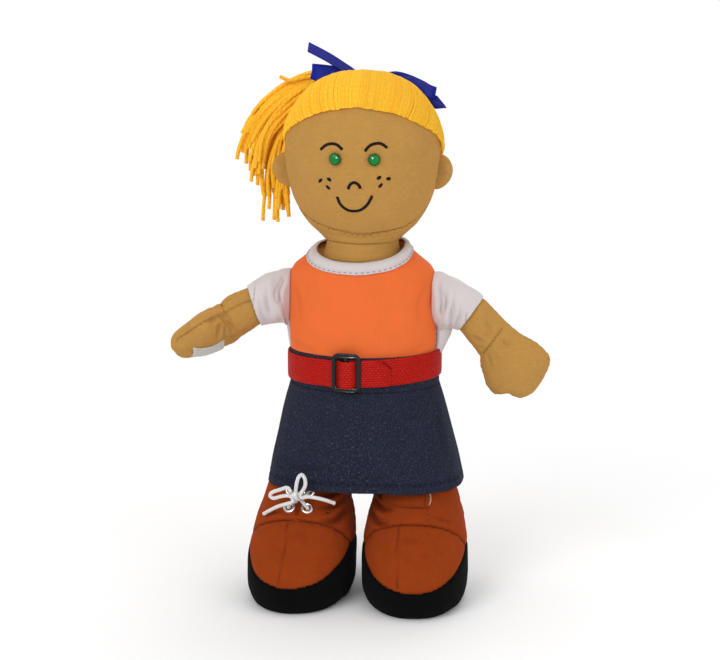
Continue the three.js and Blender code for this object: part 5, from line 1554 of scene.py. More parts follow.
class DOLL_OT_hair(bpy.types.Operator):
    """Makes the yarn hair: the cap of strands and the ponytail, with the bow that ties it"""

    bl_idname = "doll.hair"
    bl_label = "Hair and ribbon"

    def execute(self, context):
        chance = random.Random(4)
        surface = head_surface()
        self.make_cap(surface, chance)
        self.make_ponytail(chance)
        self.make_ribbon()
        return {"FINISHED"}

    def make_cap(self, surface, chance):
        """A knitted base on the head, and the strands sewn down over it."""
        angles = turn_angles(120)
        degrees = np.degrees(angles)
        degrees = np.where(degrees > 180, 360 - degrees, degrees)
        low = read_rows(HAIRLINE, degrees)[:, 0]
        rings = []
        for offset, shares in ((0.4, np.linspace(1, 0, 24)), (1.5, np.linspace(0, 1, 24))):
            for share in shares:
                heights = low + (126.4 - low) * math.sin(share * math.pi / 2)
                half = read_rows(HEAD, heights)[:, 0]
                rings.append(np.column_stack([
                    (half + offset) * np.sin(angles), -(half * HEAD_DEPTH + offset) * np.cos(angles),
                    BALL_Z + heights + offset * share ** 3,
                ]))
        # The base has no strand tone, so its yarn shows the darker orange: painted shade between the strands
        base = shaped("hair_base", rings, "yarn")
        settled(base, "head", "yellow_yarn", "hair_cap")

        count = sizes().cap_strands
        centre = Vector((0, 0, BALL_Z + 55))
        lines, tones = [], []
        for number in range(count):
            turn = 360 * (number + chance.uniform(-0.16, 0.16)) / count
            angle = turn if turn <= 180 else 360 - turn
            height = float(read_rows(HAIRLINE, [angle])[0, 0]) + chance.uniform(-0.8, 0.5)
            half = float(read_rows(HEAD, [height])[0, 0])
            way = math.radians(turn)
            start = np.array([half * math.sin(way), -half * HEAD_DEPTH * math.cos(way), BALL_Z + height])
            power = 1.8 if angle < 100 else 1.0
            last = 1.0 if number % 3 == 0 else chance.uniform(0.72, 0.93)
            level = chance.uniform(-0.2, 0.25)
            line = []
            for t in np.linspace(0, last, 34):
                point = start + (TIE - start) * np.array([t ** power, t, t])
                hit, normal, _, _ = surface.ray_cast(centre, (Vector(point) - centre).normalized())
                rooted = min(1.0, t * 14)
                sinking = 1 - max(0.0, (t - last + 0.12) / 0.12) if last < 1 else 1.0
                gathered = 4.0 * max(0.0, (t - 0.85) / 0.15)
                lift = 0.5 + (1.9 + level) * (rooted ** 0.5) * (0.25 + 0.75 * sinking) + gathered
                line.append(tuple(hit + normal * lift))
            lines.append(smooth_path(line, max(14, int(path_length(line) / 2.6))))
            tones.append(np.full(len(lines[-1]), min(1.0, max(0.0, chance.gauss(0.72, 0.22)))))
        self.lay_strands("hair_strands", lines, tones, sizes().yarn_radius)

    def lay_strands(self, name, lines, tones, radius):
        radii = np.full(sum(len(line) for line in lines), radius)
        strands = lines_object(name, lines, values={"radius_m": radii, "tone": np.concatenate(tones)})
        settled(grown(strands, "Yarn", finish("yarn"), sides=6), "head", "yellow_yarn")

    def make_ponytail(self, chance):
        """A core with strands round it, cut off on a slant so that the outer ones are shorter."""
        stations = np.array(PONYTAIL, float)
        stations[:, 2] += BALL_Z
        keys = np.concatenate([[0], np.cumsum(np.linalg.norm(np.diff(stations[:, :3], axis=0), axis=1))])
        centres = np.column_stack([keys, stations[:, :3]])
        halves = np.column_stack([keys, stations[:, 3:]])
        total = keys[-1]

        def frames(distances):
            places = read_rows(centres, distances, False)
            ahead = read_rows(centres, np.minimum(distances + 0.5, total), False)
            behind = read_rows(centres, np.maximum(distances - 0.5, 0), False)
            along = unit(ahead - behind)
            wide = unit(np.cross(along, (0, 1, 0)))
            return places, wide, np.cross(wide, along), read_rows(halves, distances)

        core = []
        for distance in np.linspace(0, 0.56 * total, 40):
            places, wide, thick, half = frames(np.array([distance]))
            share = 0.66 - 0.5 * max(0.0, distance / total - 0.2)
            half_wide, half_thick = half[0] * share
            core.append(oval_ring(places[0], wide[0], thick[0], half_wide, half_thick, turn_angles(32)))
        # The core has no strand tone, so its yarn shows the darker orange: painted shade among the strands
        core = shaped("ponytail_core", core, "yarn")
        ripple(core, 1.2, 6, 8)
        settled(core, "head", "yellow_yarn", "ponytail")

        lines, tones = [], []
        locks = []
        for _ in range(18):
            radius, angle = math.sqrt(chance.uniform(0.15, 1)), chance.uniform(0, 2 * math.pi)
            locks.append((radius * math.cos(angle), radius * math.sin(angle)))
        for _ in range(sizes().ponytail_strands):
            radius, angle = math.sqrt(chance.uniform(0.36, 0.96)), chance.uniform(0, 2 * math.pi)
            u, v = radius * math.cos(angle), radius * math.sin(angle)
            lock_u, lock_v = min(locks, key=lambda lock: (lock[0] - u) ** 2 + (lock[1] - v) ** 2)
            length = total * min(0.99, max(0.42, 0.5 + 0.25 * (u + 1) + chance.gauss(0, 0.07)))
            distances = np.linspace(0, length, max(24, int(length / 3.4)))
            places, wide, thick, half = frames(distances)
            share = distances / total
            gather = 0.5 * np.clip((share - 0.3) / 0.3, 0, 1)
            loose = np.clip((share - 0.35) / 0.65, 0, 1) ** 2
            stray = np.array([chance.gauss(-2, 6.5), chance.gauss(0, 3), chance.gauss(0, 6)])
            now_u, now_v = u + (lock_u - u) * gather, v + (lock_v - v) * gather
            wave = 0.9 * np.sin(distances / chance.uniform(9, 16) + chance.uniform(0, 6)) * share
            half = half - 1.2
            line = places + wide * (now_u * half[:, 0] + wave)[:, None]
            line += thick * (now_v * half[:, 1] + wave * 0.6)[:, None]
            lines.append(line + loose[:, None] * stray)
            tones.append(np.full(len(line), min(1.0, max(0.0, chance.gauss(0.6, 0.32)))))
        for stray in STRAY_STRANDS:
            line = smooth_path([(x, y, z + BALL_Z) for x, y, z in stray], 18)
            lines.append(line)
            tones.append(np.full(len(line), 0.7))
        self.lay_strands("ponytail_strands", lines, tones, sizes().yarn_radius * 1.25)

    def make_ribbon(self):
        """Satin strips gathered at the knot, their free ends cut on a slant."""
        knot, run = RIBBON_KNOT, np.linspace(0, 1, 72)
        for number, (name, (across, points)) in enumerate(RIBBON_TIES.items()):
            path = smooth_path([(x, y, z + BALL_Z) for x, y, z in points], 72)
            distance = np.linalg.norm(path - knot, axis=1)
            half_wide = RIBBON_HALF_WIDTHS[name] * (0.45 + 0.55 * np.clip((distance - 4) / 14, 0, 1) ** 0.7)

            def slant(i, share, tail=name):
                if tail == "left_tail":
                    return -9.0 * run[i] ** 6 * abs(share + 0.15)
                if tail == "tall_tail":
                    return 1.2 * run[i] ** 6 * share
                return 0.0

            rings = strip_rings(path, across, half_wide, 0.3, slant, samples=11)
            strip = shaped(f"ribbon_{name}", rings, "satin")
            for k in (8, 14):
                for z in (-1.8, 1.8):
                    pleat = [knot + (path[k] - knot) * s + (0, 0, z) for s in (0.2, 0.6, 1.0)]
                    press_seam(strip, smooth_path(pleat, 10), 0.7, 1.1)
            nodes = ("hair_ribbon",) if number == 0 else ()
            settled(strip, "head", "blue_satin", *nodes)
        rings = []
        for t in np.linspace(0, 2 * math.pi, 40, endpoint=False):
            out = np.array([0.25 * math.cos(t), math.cos(t), math.sin(t)])
            middle = knot + np.array([0, 3.9, 4.6]) * out + (1.2 * math.cos(t), 0, 0)
            wide = np.array([1.0, 0.15, 0.2])
            section = []
            for s in turn_angles(16):
                crease = 0.25 * math.cos(3 * s)
                section.append(middle + wide * 4.6 * math.cos(s) + out * (0.9 + crease) * math.sin(s))
            rings.append(section)
        wrap = shaped("ribbon_knot", rings, "satin", looped=True)
        settled(wrap, "head", "blue_satin")


class DOLL_OT_top(bpy.types.Operator):
    """Makes the stuffed torso and the two-colour top with its binding and sleeves"""

    bl_idname = "doll.top"
    bl_label = "Torso and top"

    def execute(self, context):
        self.make_torso()
        self.make_panels()
        self.make_binding()
        for name in ARMS:
            self.make_sleeve(name)
        return {"FINISHED"}

    def make_torso(self):
        angles = turn_angles(96)
        rows = [torso_point(angles, h, 0.0) for h in (0, 1.5, 4, 7, 11, 15, 20, 26)]
        rows += list(torso_rows(angles, 0.0, 34, 26))
        rim, depth = NECK_RADIUS + 0.8, HIP_Z + 110.6
        slant = BALL_Z - 5.5 + rim * np.sin(angles) * math.tan(NECKLINE_TILT)
        for share in (0.0, 0.5, 1.0):
            level = slant + (depth - slant) * share
            rows.append(np.column_stack([rim * np.cos(angles), rim * np.sin(angles), level]))
        torso = shaped("torso_stuffed", rows, "skin")
        settled(torso, "torso", "skin_cloth", "torso_body")

    def make_panels(self):
        """Orange front and back and white side gussets, cut from one shape along its side seams."""
        edge = math.acos(GUSSET_EDGE_X / 55.3)
        quarter = np.concatenate([np.linspace(-edge, edge, 13), np.linspace(edge, math.pi - edge, 60)[1:-1]])
        angles = np.concatenate([quarter, quarter + math.pi])
        rows = torso_rows(angles, SHIRT_OUTSIDE, TOP_HEM_HEIGHT, 64)
        whole = grid_object("top", rows)
        seams = []
        for start in (edge, math.pi - edge, math.pi + edge, -edge):
            column = int(np.argmin(np.abs(np.angle(np.exp(1j * (angles - start))))))
            seam = rows[:, column]
            seams.append(seam[seam[:, 2] < GUSSET_TOP])
            press_seam(whole, seams[-1], 0.9, 1.3, pucker=0.12, spacing=7)
        points, _ = read_points(whole)
        loose = np.clip((points[:, 2] - 173) / 9, 0, 1) * np.clip((222 - points[:, 2]) / 24, 0, 1)
        points[:, 0] += 3.2 * loose * np.clip(points[:, 0] / 50, 0, 1) ** 2
        write_points(whole, points)
        ripple(whole, 0.5, 24, 11, (1, 1, 0.6))
        press_folds(whole, TOP_FOLDS)
        columns = len(angles)
        places = np.arange(len(whole.data.polygons)) % columns % (columns // 2)
        white = (places < 12) & (face_centres(whole)[:, 2] < GUSSET_TOP)
        for name, colour, keep in (
            ("top_orange_panels", "orange", False), ("top_side_gussets", "white", True),
        ):
            piece = part_of(whole, name, white == keep)
            if keep:
                points, normals = read_points(piece)
                low = np.clip((216 - points[:, 2]) / 14, 0, 1) * np.clip((points[:, 2] - 177) / 23, 0, 1)
                middle = 1 - np.clip(np.abs(points[:, 1]) / 9.2, 0, 1) ** 2
                reach = np.where(points[:, 0] > 0, 9.5, 2.0)
                write_points(piece, points + normals * (reach * low * middle)[:, None])
            thickened(piece, SHIRT_OUTSIDE - SHIRT_INSIDE)
            painted(piece, finish(colour))
            settled(piece, "torso", f"{colour}_jersey", *(() if keep else ("shirt_body",)))
        surface = surface_of(whole)
        lines = [seam[6:] for seam in seams]
        seam_stitches(
            "top_side_stitches", surface, lines, "white_thread", "torso", "white_jersey", length=2.2,
        )
        bpy.data.objects.remove(whole)

    def make_binding(self):
        """A folded band of white jersey sewn round the neckline."""
        angles = turn_angles(150)
        inner, outer = SHIRT_OUTSIDE + 0.3, SHIRT_OUTSIDE + 1.7
        half = BINDING_WIDTH / 2
        section = [
            (-half, inner), (-half - 0.1, (inner + outer) / 2), (-half + 0.5, outer), (-1.6, outer + 0.35),
            (0.6, outer + 0.4), (half - 1.1, outer + 0.2), (half - 0.2, outer - 0.6), (half, 0.9),
            (half - 0.4, -0.2), (half - 1.6, 0.2), (half - 2.2, inner - 0.2), (-1.6, inner),
        ]
        rings = np.array([torso_ring_on_slant(angles, rise, offset) for rise, offset in section])
        band = shaped("neck_binding_folded", rings, "white", looped=True)
        ripple(band, 0.25, 7, 12)
        settled(band, "torso", "white_jersey", "neck_binding")
        line = torso_ring_on_slant(np.append(angles, angles[0]), -half + 1.5, outer)
        press_seam(band, line, 0.45, 0.7, pucker=0.15, spacing=4.2)
        seam_stitches(
            "binding_stitches", surface_of(band), [line], "grey_thread", "torso", "white_jersey", length=2.2,
        )

    def make_sleeve(self, name):
        frames = arm_frames(name)
        side, along, shoulder = frames["side"], np.array(frames["along"]), np.array(frames["shoulder"])
        seam_out, angles = np.array([side, 0.0, 0.0]), turn_angles(120)
        rings = []
        for inset, order in ((0.0, 1), (1.2, -1)):
            for distance in np.linspace(-4, 31, 64)[::order]:
                half_tall, half_deep = read_rows(SLEEVE, [distance])[0]
                share = min(CUFF_TURN[name], max(0.0, distance / 30 * 1.4))
                direction = unit(seam_out * (1 - share) + along * share)
                tall = unit(np.array([0, 0, 1.0]) - direction * direction[2])
                deep = unit(np.cross(tall, direction))
                blend = min(1.0, max(0.0, distance / 6))
                centre = shoulder + (seam_out * (1 - blend) + along * blend) * distance
                centre[2] += arm_lift(name, distance)
                ring = oval_ring(centre, tall, deep, half_tall - inset, half_deep - inset, angles)
                half = read_rows(TORSO, np.clip(ring[:, 2] - HIP_Z, 0, 124)) + SHIRT_OUTSIDE
                edge = half[:, 0] * np.sqrt(np.clip(1 - (ring[:, 1] / half[:, 1]) ** 2, 0, 1))
                edge = edge + 0.35 - 0.2 * inset
                under = (side * ring[:, 0] < edge) & (ring[:, 2] < HIP_Z + 110)
                ring[under, 0] = side * edge[under]
                rings.append(ring)
        sleeve = shaped(f"{name}_sleeve_cloth", rings, "white", looped=True)

        def on_arm(distance, turn):
            """A place on the sleeve: how far out, and degrees round it from the top towards the front."""
            half_tall, half_deep = read_rows(SLEEVE, [distance])[0]
            spot = shoulder + along * distance
            spot[2] += arm_lift(name, distance)
            t = math.radians(turn)
            return spot + np.array([0, -half_deep * math.sin(t), half_tall * math.cos(t)])

        press_folds(sleeve, [
            ([on_arm(*spot) for spot in line], depth, width) for line, depth, width in SLEEVE_FOLDS
        ])
        ripple(sleeve, 0.6, 13, 13 + side)
        ring = np.array([on_arm(28.4, turn) for turn in range(0, 361, 12)])
        line, _ = seated(surface_of(sleeve), ring)
        press_seam(sleeve, line, 0.35, 0.7)
        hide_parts(f"{name}_sleeve")
        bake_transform(sleeve)
        seam_stitches(
            f"{name}_cuff_stitches", surface_of(sleeve), [line], "white_thread", f"{name}_arm",
            "white_jersey", length=2.0,
        )


def skirt_rings(inset, shares, top_z, flare=0.0):
    angles = turn_angles(180)
    rows = read_rows(SKIRT, shares)
    rings = []
    for share, (wide, deep, square) in zip(shares, rows):
        half_wide, half_deep = (size + WAIST_OFFSET - inset for size in (WAIST[0] + wide, WAIST[1] + deep))
        ring = level_ring((0, 0, 0), half_wide, half_deep, angles, square)
        turn = np.arctan2(ring[:, 1], ring[:, 0])
        fold = sizes().skirt_fold_depth / MM * share * np.cos(7 * turn)
        fold += flare * max(0.0, (share - 0.88) / 0.12) ** 0.5
        ring += unit(ring) * fold[:, None]
        ring[:, 0] += WAIST_X + (HEM_X - WAIST_X) * share
        ring[:, 2] = top_z - share * (top_z - HEM_Z)
        rings.append(ring)
    return rings


class DOLL_OT_skirt(bpy.types.Operator):
    """Makes the denim skirt with its turned hem and its waistband"""

    bl_idname = "doll.skirt"
    bl_label = "Skirt"

    def execute(self, context):
        top_z = HIP_Z + WAIST_BAND[0] - 0.3
        shares = np.concatenate([np.linspace(0, 0.86, 44), np.linspace(0.875, 1, 14)])
        rings = skirt_rings(0.0, shares, top_z, 0.35) + skirt_rings(DENIM, shares[::-1], top_z)
        skirt = shaped("skirt_denim", rings, "denim", looped=True)
        press_folds(skirt, SKIRT_FOLDS)
        ripple(skirt, 0.5, 20, 21, (1, 1, 0.5))
        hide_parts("skirt")
        surface = surface_of(skirt)
        hem = skirt_rings(0.0, [0.915], top_z, 0.35)[0]
        hem, _ = seated(surface, np.vstack([hem, hem[:1]]))
        press_seam(skirt, hem, 0.6, 1.1, pucker=0.35, spacing=8, shade=0.7)
        side_lines = [
            [tuple(ring[i]) for ring in skirt_rings(0.0, np.linspace(0.02, 0.98, 30), top_z)] for i in (0, 90)
        ]
        for line in side_lines:
            press_seam(skirt, line, 0.5, 1.0, pucker=0.15, spacing=9)
        surface = surface_of(skirt)
        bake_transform(skirt)
        stitches = sewn(
            "skirt_stitches", surface, [hem] + side_lines, finish("navy_thread"), spacing=4.4, length=3.0,
            width=0.8, height=0.7, lift=0.1,
        )
        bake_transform(stitches)
        self.make_waistband()
        return {"FINISHED"}

    def make_waistband(self):
        angles = turn_angles(160)
        low, high = WAIST_BAND
        section = [
            (low, 2.1), (low, 3.2), (low + 0.5, 3.4), (low + 7, 3.4), (low + 13, 3.4), (high - 5, 3.4),
            (high - 0.8, 3.5), (high, 3.1), (high + 0.1, 2.5), (high - 0.6, 2.05), (low + 13, 2.0),
        ]
        rings = [level_ring((WAIST_X, 0, HIP_Z + h), WAIST[0] + o, WAIST[1] + o, angles) for h, o in section]
        band = shaped("skirt_waistband_denim", rings, "denim", looped=True)
        settled(band, "torso", "denim", "skirt_waistband")
        line = rings[6] - (0, 0, 0.7)
        seam_stitches(
            "waistband_stitches", surface_of(band), [np.vstack([line, line[:1]])], "rust_thread", "torso",
            "denim", spacing=2.6, length=1.5, width=0.6,
        )


class DOLL_OT_belt(bpy.types.Operator):
    """Makes the webbing belt, its folded free end and the three-bar slider"""

    bl_idname = "doll.belt"
    bl_label = "Belt"

    def execute(self, context):
        under = 0.4 + WEBBING / 2
        over = under + WEBBING + 0.3
        wide, deep = WAIST[0] + WAIST_OFFSET, WAIST[1] + WAIST_OFFSET
        per_degree = math.radians(1) * wide

        def at(angle, rise):
            t = math.radians(angle)
            x, y = WAIST_X + (wide + rise) * math.sin(t), -(deep + rise) * math.cos(t)
            return (x, y, BELT_Z + BELT_WIDTH / 2)

        def steps(mm):
            return SLIDER_ANGLE + mm / per_degree

        on_bar = over + WEBBING / 2 + 0.3 + SLIDER["thickness"] + 0.3 + WEBBING / 2
        inside = SLIDER["width"] / 2 - SLIDER["side"] - 1.1
        line = [at(FREE_END_ANGLE, over - 1.3), at(FREE_END_ANGLE - 1.5, over - 1.1)]
        line += [at(angle, over) for angle in np.arange(FREE_END_ANGLE - 4, steps(inside + 2), -3)]
        for mm, rise in ((inside, over), (2.5, on_bar), (-2.5, on_bar), (-inside, over)):
            line.append(at(steps(mm), rise))
        line += [at(steps(-SLIDER["width"] / 2 - 1.5), over)]
        start, end = steps(-SLIDER["width"] / 2 - 7), SLIDER_ANGLE - 360
        line += [at(start + (end - start) * i / 110, under) for i in range(111)]
        path = smooth_path(line, 460)

        def corner(i, share):
            reach = max(0.0, share * 10 - 3.7) / 6.3 * 9.0
            return reach * max(0.0, 1 - i / 22) if i < 22 else 0.0

        path[:, 2] += 1.2 + BELT_TILT * path[:, 0]
        rings = strip_rings(path, (0, 0, 1), BELT_WIDTH / 2, WEBBING / 2, corner, samples=21)
        belt = shaped("belt_woven", rings, "webbing")
        self.turn_map(belt)
        settled(belt, "torso", "red_webbing", "belt_webbing")
        tip = np.array(at(FREE_END_ANGLE, over + WEBBING / 2))
        crease = [tip + (-9.5, -1.5, 11.5), tip + (-5.0, -0.4, 8.4), tip + (0.2, 1.5, 4.6)]
        # Painted shade: a dark line along the crease of the folded corner
        press_seam(belt, smooth_path(crease, 12), 0.3, 0.9, shade=1.0)
        self.make_slider(np.array(at(SLIDER_ANGLE, over + WEBBING / 2 + 0.3 + SLIDER["thickness"] / 2)))
        return {"FINISHED"}

    def turn_map(self, belt):
        """The weave's rows run along the belt, so its map lies along the path."""
        layer = belt.data.uv_layers.active.data
        flat = np.empty(len(layer) * 2, np.float32)
        layer.foreach_get("uv", flat)
        flat = flat.reshape(-1, 2)[:, ::-1].copy()
        layer.foreach_set("uv", flat.ravel())

    def make_slider(self, centre):
        """A flat frame with two windows, moulded in one with rounded edges."""
        width, height = SLIDER["width"], SLIDER["height"]
        far, near = width / 2 - SLIDER["side"], SLIDER["bar"] / 2
        tall = height / 2 - SLIDER["rail"]
        outlines = [(0, 0, width / 2, height / 2, 5.0)]
        outlines += [(s * (far + near) / 2, 0, (far - near) / 2, tall, 1.6) for s in (-1, 1)]
        curve = bpy.data.curves.new("belt_slider_moulded", "CURVE")
        curve.dimensions, curve.fill_mode = "2D", "BOTH"
        edge = 0.85
        curve.extrude, curve.bevel_depth = (SLIDER["thickness"] / 2 - edge) * MM, edge * MM
        curve.bevel_resolution = 4
        for number, (x, y, half_x, half_y, corner) in enumerate(outlines):
            inset = -edge if number == 0 else edge
            half_x, half_y = half_x + inset, half_y + inset
            points = []
            for quarter, (sx, sy) in enumerate(((1, 1), (-1, 1), (-1, -1), (1, -1))):
                mid_x, mid_y = x + sx * (half_x - corner), y + sy * (half_y - corner)
                for i in range(9):
                    t = math.radians(90 * quarter + 90 * i / 8)
                    points.append((mid_x + corner * math.cos(t), mid_y + corner * math.sin(t)))
            spline = curve.splines.new("POLY")
            spline.points.add(len(points) - 1)
            for point, (px, py) in zip(spline.points, points):
                point.co = (px * MM, py * MM, 0, 1)
            spline.use_cyclic_u = True
        slider = bpy.data.objects.new("belt_slider_moulded", curve)
        bpy.context.scene.collection.objects.link(slider)
        bpy.context.view_layer.update()
        mesh = bpy.data.meshes.new_from_object(slider.evaluated_get(bpy.context.evaluated_depsgraph_get()))
        bpy.data.objects.remove(slider)
        slider = bpy.data.objects.new("belt_slider_moulded", mesh)
        bpy.context.scene.collection.objects.link(slider)
        points = np.array([v.co for v in mesh.vertices]) / MM
        turn = math.radians(SLIDER_ANGLE) * 0.7
        x, y = points[:, 0], -points[:, 2] + 0.012 * points[:, 0] ** 2
        turned = np.column_stack([
            x * math.cos(turn) - y * math.sin(turn), x * math.sin(turn) + y * math.cos(turn), points[:, 1],
        ])
        write_points(slider, turned + centre + (-0.6, 0, 2.2))
        made = bmesh.new()
        made.from_mesh(mesh)
        bmesh.ops.remove_doubles(made, verts=made.verts, dist=1e-6)
        bmesh.ops.recalc_face_normals(made, faces=made.faces)
        made.to_mesh(mesh)
        made.free()
        mesh.shade_smooth()
        painted(slider, finish("black"))
        settled(slider, "torso", "black_plastic", "belt_slider")


class DOLL_OT_arms(bpy.types.Operator):
    """Makes the stuffed arms, each one cloth from the shoulder to the mitten, and the palm patches"""

    bl_idname = "doll.arms"
    bl_label = "Arms and hands"

    def execute(self, context):
        for name in ARMS:
            self.make_arm(name, arm_frames(name))
        return {"FINISHED"}

    def section(self, centre, across, palm, low, high, half_thick):
        across = np.array(across)
        middle = np.array(centre) + across * (low + high) / 2
        return oval_ring(middle, across, np.array(palm), (high - low) / 2, half_thick, turn_angles(88), 2.2)

    def upper_section(self, frames, distance):
        """The upper arm's cloth at a distance from the shoulder: its middle, directions and sizes."""
        along = frames["along"]
        level = Vector((along.x, along.y, 0)).normalized()
        half_wide, half_thick = read_rows(UPPER_ARM, [distance])[0]
        across, palm = frames["turned"](float(read_rows(ARM_TWIST, [distance])[0, 0]))
        lean = max(0.0, 1 - distance / 30)
        tilt = along.rotation_difference(along.lerp(level, lean).normalized())
        straight = max(0.0, 1 - distance / 10)
        centre = frames["shoulder"] + along.lerp(level, straight) * distance
        centre.z += arm_lift(frames["name"], distance)
        return centre, tilt @ across, tilt @ palm, half_wide, half_thick

    def hand_section(self, frames, distance):
        low, high, half_thick = read_rows(MITTEN, [min(distance, 48.6)])[0]
        blend = min(1.0, distance / 9)
        across = frames["across"].lerp(frames["fore_across"], blend).normalized()
        palm = frames["palm"].lerp(frames["fore_palm"], blend).normalized()
        centre = frames["elbow"] + frames["fore_along"] * distance
        centre.z += arm_lift(frames["name"], UPPER_ARM_LENGTH + distance)
        return centre, across, palm, low, high, half_thick

    def make_arm(self, name, frames):
        rings, edges = [], ([], [])
        turn_c, turn_s = math.cos(SEAM_TURN[name]), math.sin(SEAM_TURN[name])
        for distance in np.linspace(0.4, 51.5, 66):
            centre, across, palm, half_wide, half_thick = self.upper_section(frames, distance)
            thick = max(0.45, half_thick)
            rings.append(self.section(centre, across, palm, -half_wide, half_wide, thick))
            for edge, way in zip(edges, (-1, 1)):
                edge.append(tuple(centre + (across * half_wide * turn_c + palm * thick * turn_s) * way))
        for distance in np.concatenate([np.linspace(0.6, 48.4, 64), (49.0, 49.4)]):
            centre, across, palm, low, high, half_thick = self.hand_section(frames, distance)
            if distance > 48.5:
                middle, size = (low + high) / 2, 0.72 if distance < 49.2 else 0.35
                low, high = middle + (low - middle) * size, middle + (high - middle) * size
                half_thick = half_thick * size
            rings.append(self.section(centre, across, palm, low, high, half_thick))
            if distance < 48:
                for edge, reach in zip(edges, (low, high)):
                    way = 1 if reach > 0 else -1
                    edge.append(tuple(centre + across * reach * turn_c + palm * half_thick * turn_s * way))
        arm = shaped(f"{name}_arm_stuffed", rings, "skin")
        ripple(arm, 0.8, 15, 31 + frames["side"])
        surface = surface_of(arm)
        seams = [seated(surface, smooth_path(edge[::3], 90))[0] for edge in edges]
        for seam in seams:
            press_seam(arm, seam, 0.8, 1.1, pucker=0.25, spacing=5.0, shade=0.45)
        self.crease(arm, name, frames)
        elbow_line = self.elbow_line(arm, frames)
        press_seam(arm, elbow_line, 0.9, 1.2, pucker=0.2, spacing=3.6, shade=0.3)
        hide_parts(f"{name}_upper_arm", f"{name}_hand")
        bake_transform(arm)
        surface = surface_of(arm)
        hand_seams = [seam[62:86] for seam in seams]
        seam_stitches(
            f"{name}_hand_stitches", surface, hand_seams, "brown_thread", f"{name}_forearm", "skin_cloth",
            length=1.8, width=0.6, height=0.5,
        )
        seam_stitches(
            f"{name}_elbow_stitches", surface, [elbow_line], "brown_thread", f"{name}_forearm", "skin_cloth",
            spacing=2.5, length=1.4, width=0.7, height=0.6,
        )
        self.make_patch(name, frames, surface)

    def elbow_line(self, arm, frames):
        """The line of stitches across the arm at the elbow, on the face away from the palm."""
        surface = surface_of(arm)
        start, palm, across = (np.array(frames[key]) for key in ("elbow", "palm", "across"))
        start[2] += arm_lift(frames["name"], UPPER_ARM_LENGTH)
        line = []
        for share in np.linspace(-0.86, 0.9, 24):
            spot = Vector(start + across * share * 13 - palm * 40)
            hit, _, _, _ = surface.ray_cast(spot, Vector(palm))
            line.append(tuple(hit))
        return np.array(line)

    def crease(self, arm, name, frames):
        """Short creases that radiate from the elbow's stitches on both faces, and from the right thumb."""
        elbow, across, palm = (np.array(frames[key]) for key in ("elbow", "across", "palm"))
        elbow[2] += arm_lift(name, UPPER_ARM_LENGTH)
        folds = []
        for way, along in ((-1, np.array(frames["along"])), (1, np.array(frames["fore_along"]))):
            for face in (-1, 1):
                for share, long in ELBOW_CREASES:
                    near = elbow + across * share * 8 + along * way * 2.0 + palm * face * 12.5
                    far = elbow + across * share * 17 + along * way * long + palm * face * 14
                    folds.append(([near, (near + far) / 2 + palm * face * 0.8, far], 0.9, 1.7))
        press_folds(arm, folds)
        if name == "right":
            def on_front(distance, turn):
                """A place on the thumb's side: past the elbow, and degrees from the edge towards the palm."""
                centre, across, palm, low, _, half_thick = self.hand_section(frames, distance)
                t = math.radians(turn)
                return np.array(centre + across * low * math.cos(t) + palm * half_thick * math.sin(t))

            for d, t in THUMB_CREASES:
                line = [on_front(9, -16), on_front((9 + d) / 2, (t - 16) / 2), on_front(d, t)]
                press_folds(arm, [(line, 1.4, 1.7)])

    def make_patch(self, name, frames, surface):
        """A square of loop tape that lies on the palm, with its edges sewn down."""
        fore, wide = np.array(frames["fore_along"]), np.array(frames["fore_across"])
        palm, elbow = np.array(frames["fore_palm"]), np.array(frames["elbow"])
        elbow[2] += arm_lift(name, UPPER_ARM_LENGTH + 25)
        rows = []
        low, high, half = PALM_PATCH["from"], PALM_PATCH["to"], PALM_PATCH["half_width"]
        for along in np.linspace(low, high, 26):
            row = []
            for across in np.linspace(-half, half, 22) - (5.0 if name == "right" else 0.0):
                start = Vector(elbow + fore * along + wide * across + palm * 40)
                hit, normal, _, _ = surface.ray_cast(start, Vector(-palm))
                row.append(tuple(hit + normal * 0.25))
            rows.append(row)
        patch = grid_object(f"{name}_palm_loops", np.array(rows), closed=False)
        patch.data.polygons.foreach_set("use_smooth", [True] * len(patch.data.polygons))
        _, normals = read_points(patch)
        if (normals @ palm).mean() < 0:
            patch.data.flip_normals()
        thickened(patch, PALM_PATCH["thickness"], 1.0)
        ripple(patch, 0.25, 1.6, 51)
        painted(patch, finish("tape"))
        settled(patch, f"{name}_forearm", "white_loop_tape", f"{name}_palm_patch")
        rows = np.array(rows)
        edge = np.concatenate([rows[1, 1:-1], rows[1:-1, -2], rows[-2, -2:0:-1], rows[-2:0:-1, 1]])
        seam_stitches(
            f"{name}_patch_stitches", surface_of(patch), [edge], "white_thread", f"{name}_forearm",
            "white_loop_tape", spacing=3.0, length=2.0, width=0.6,
        )


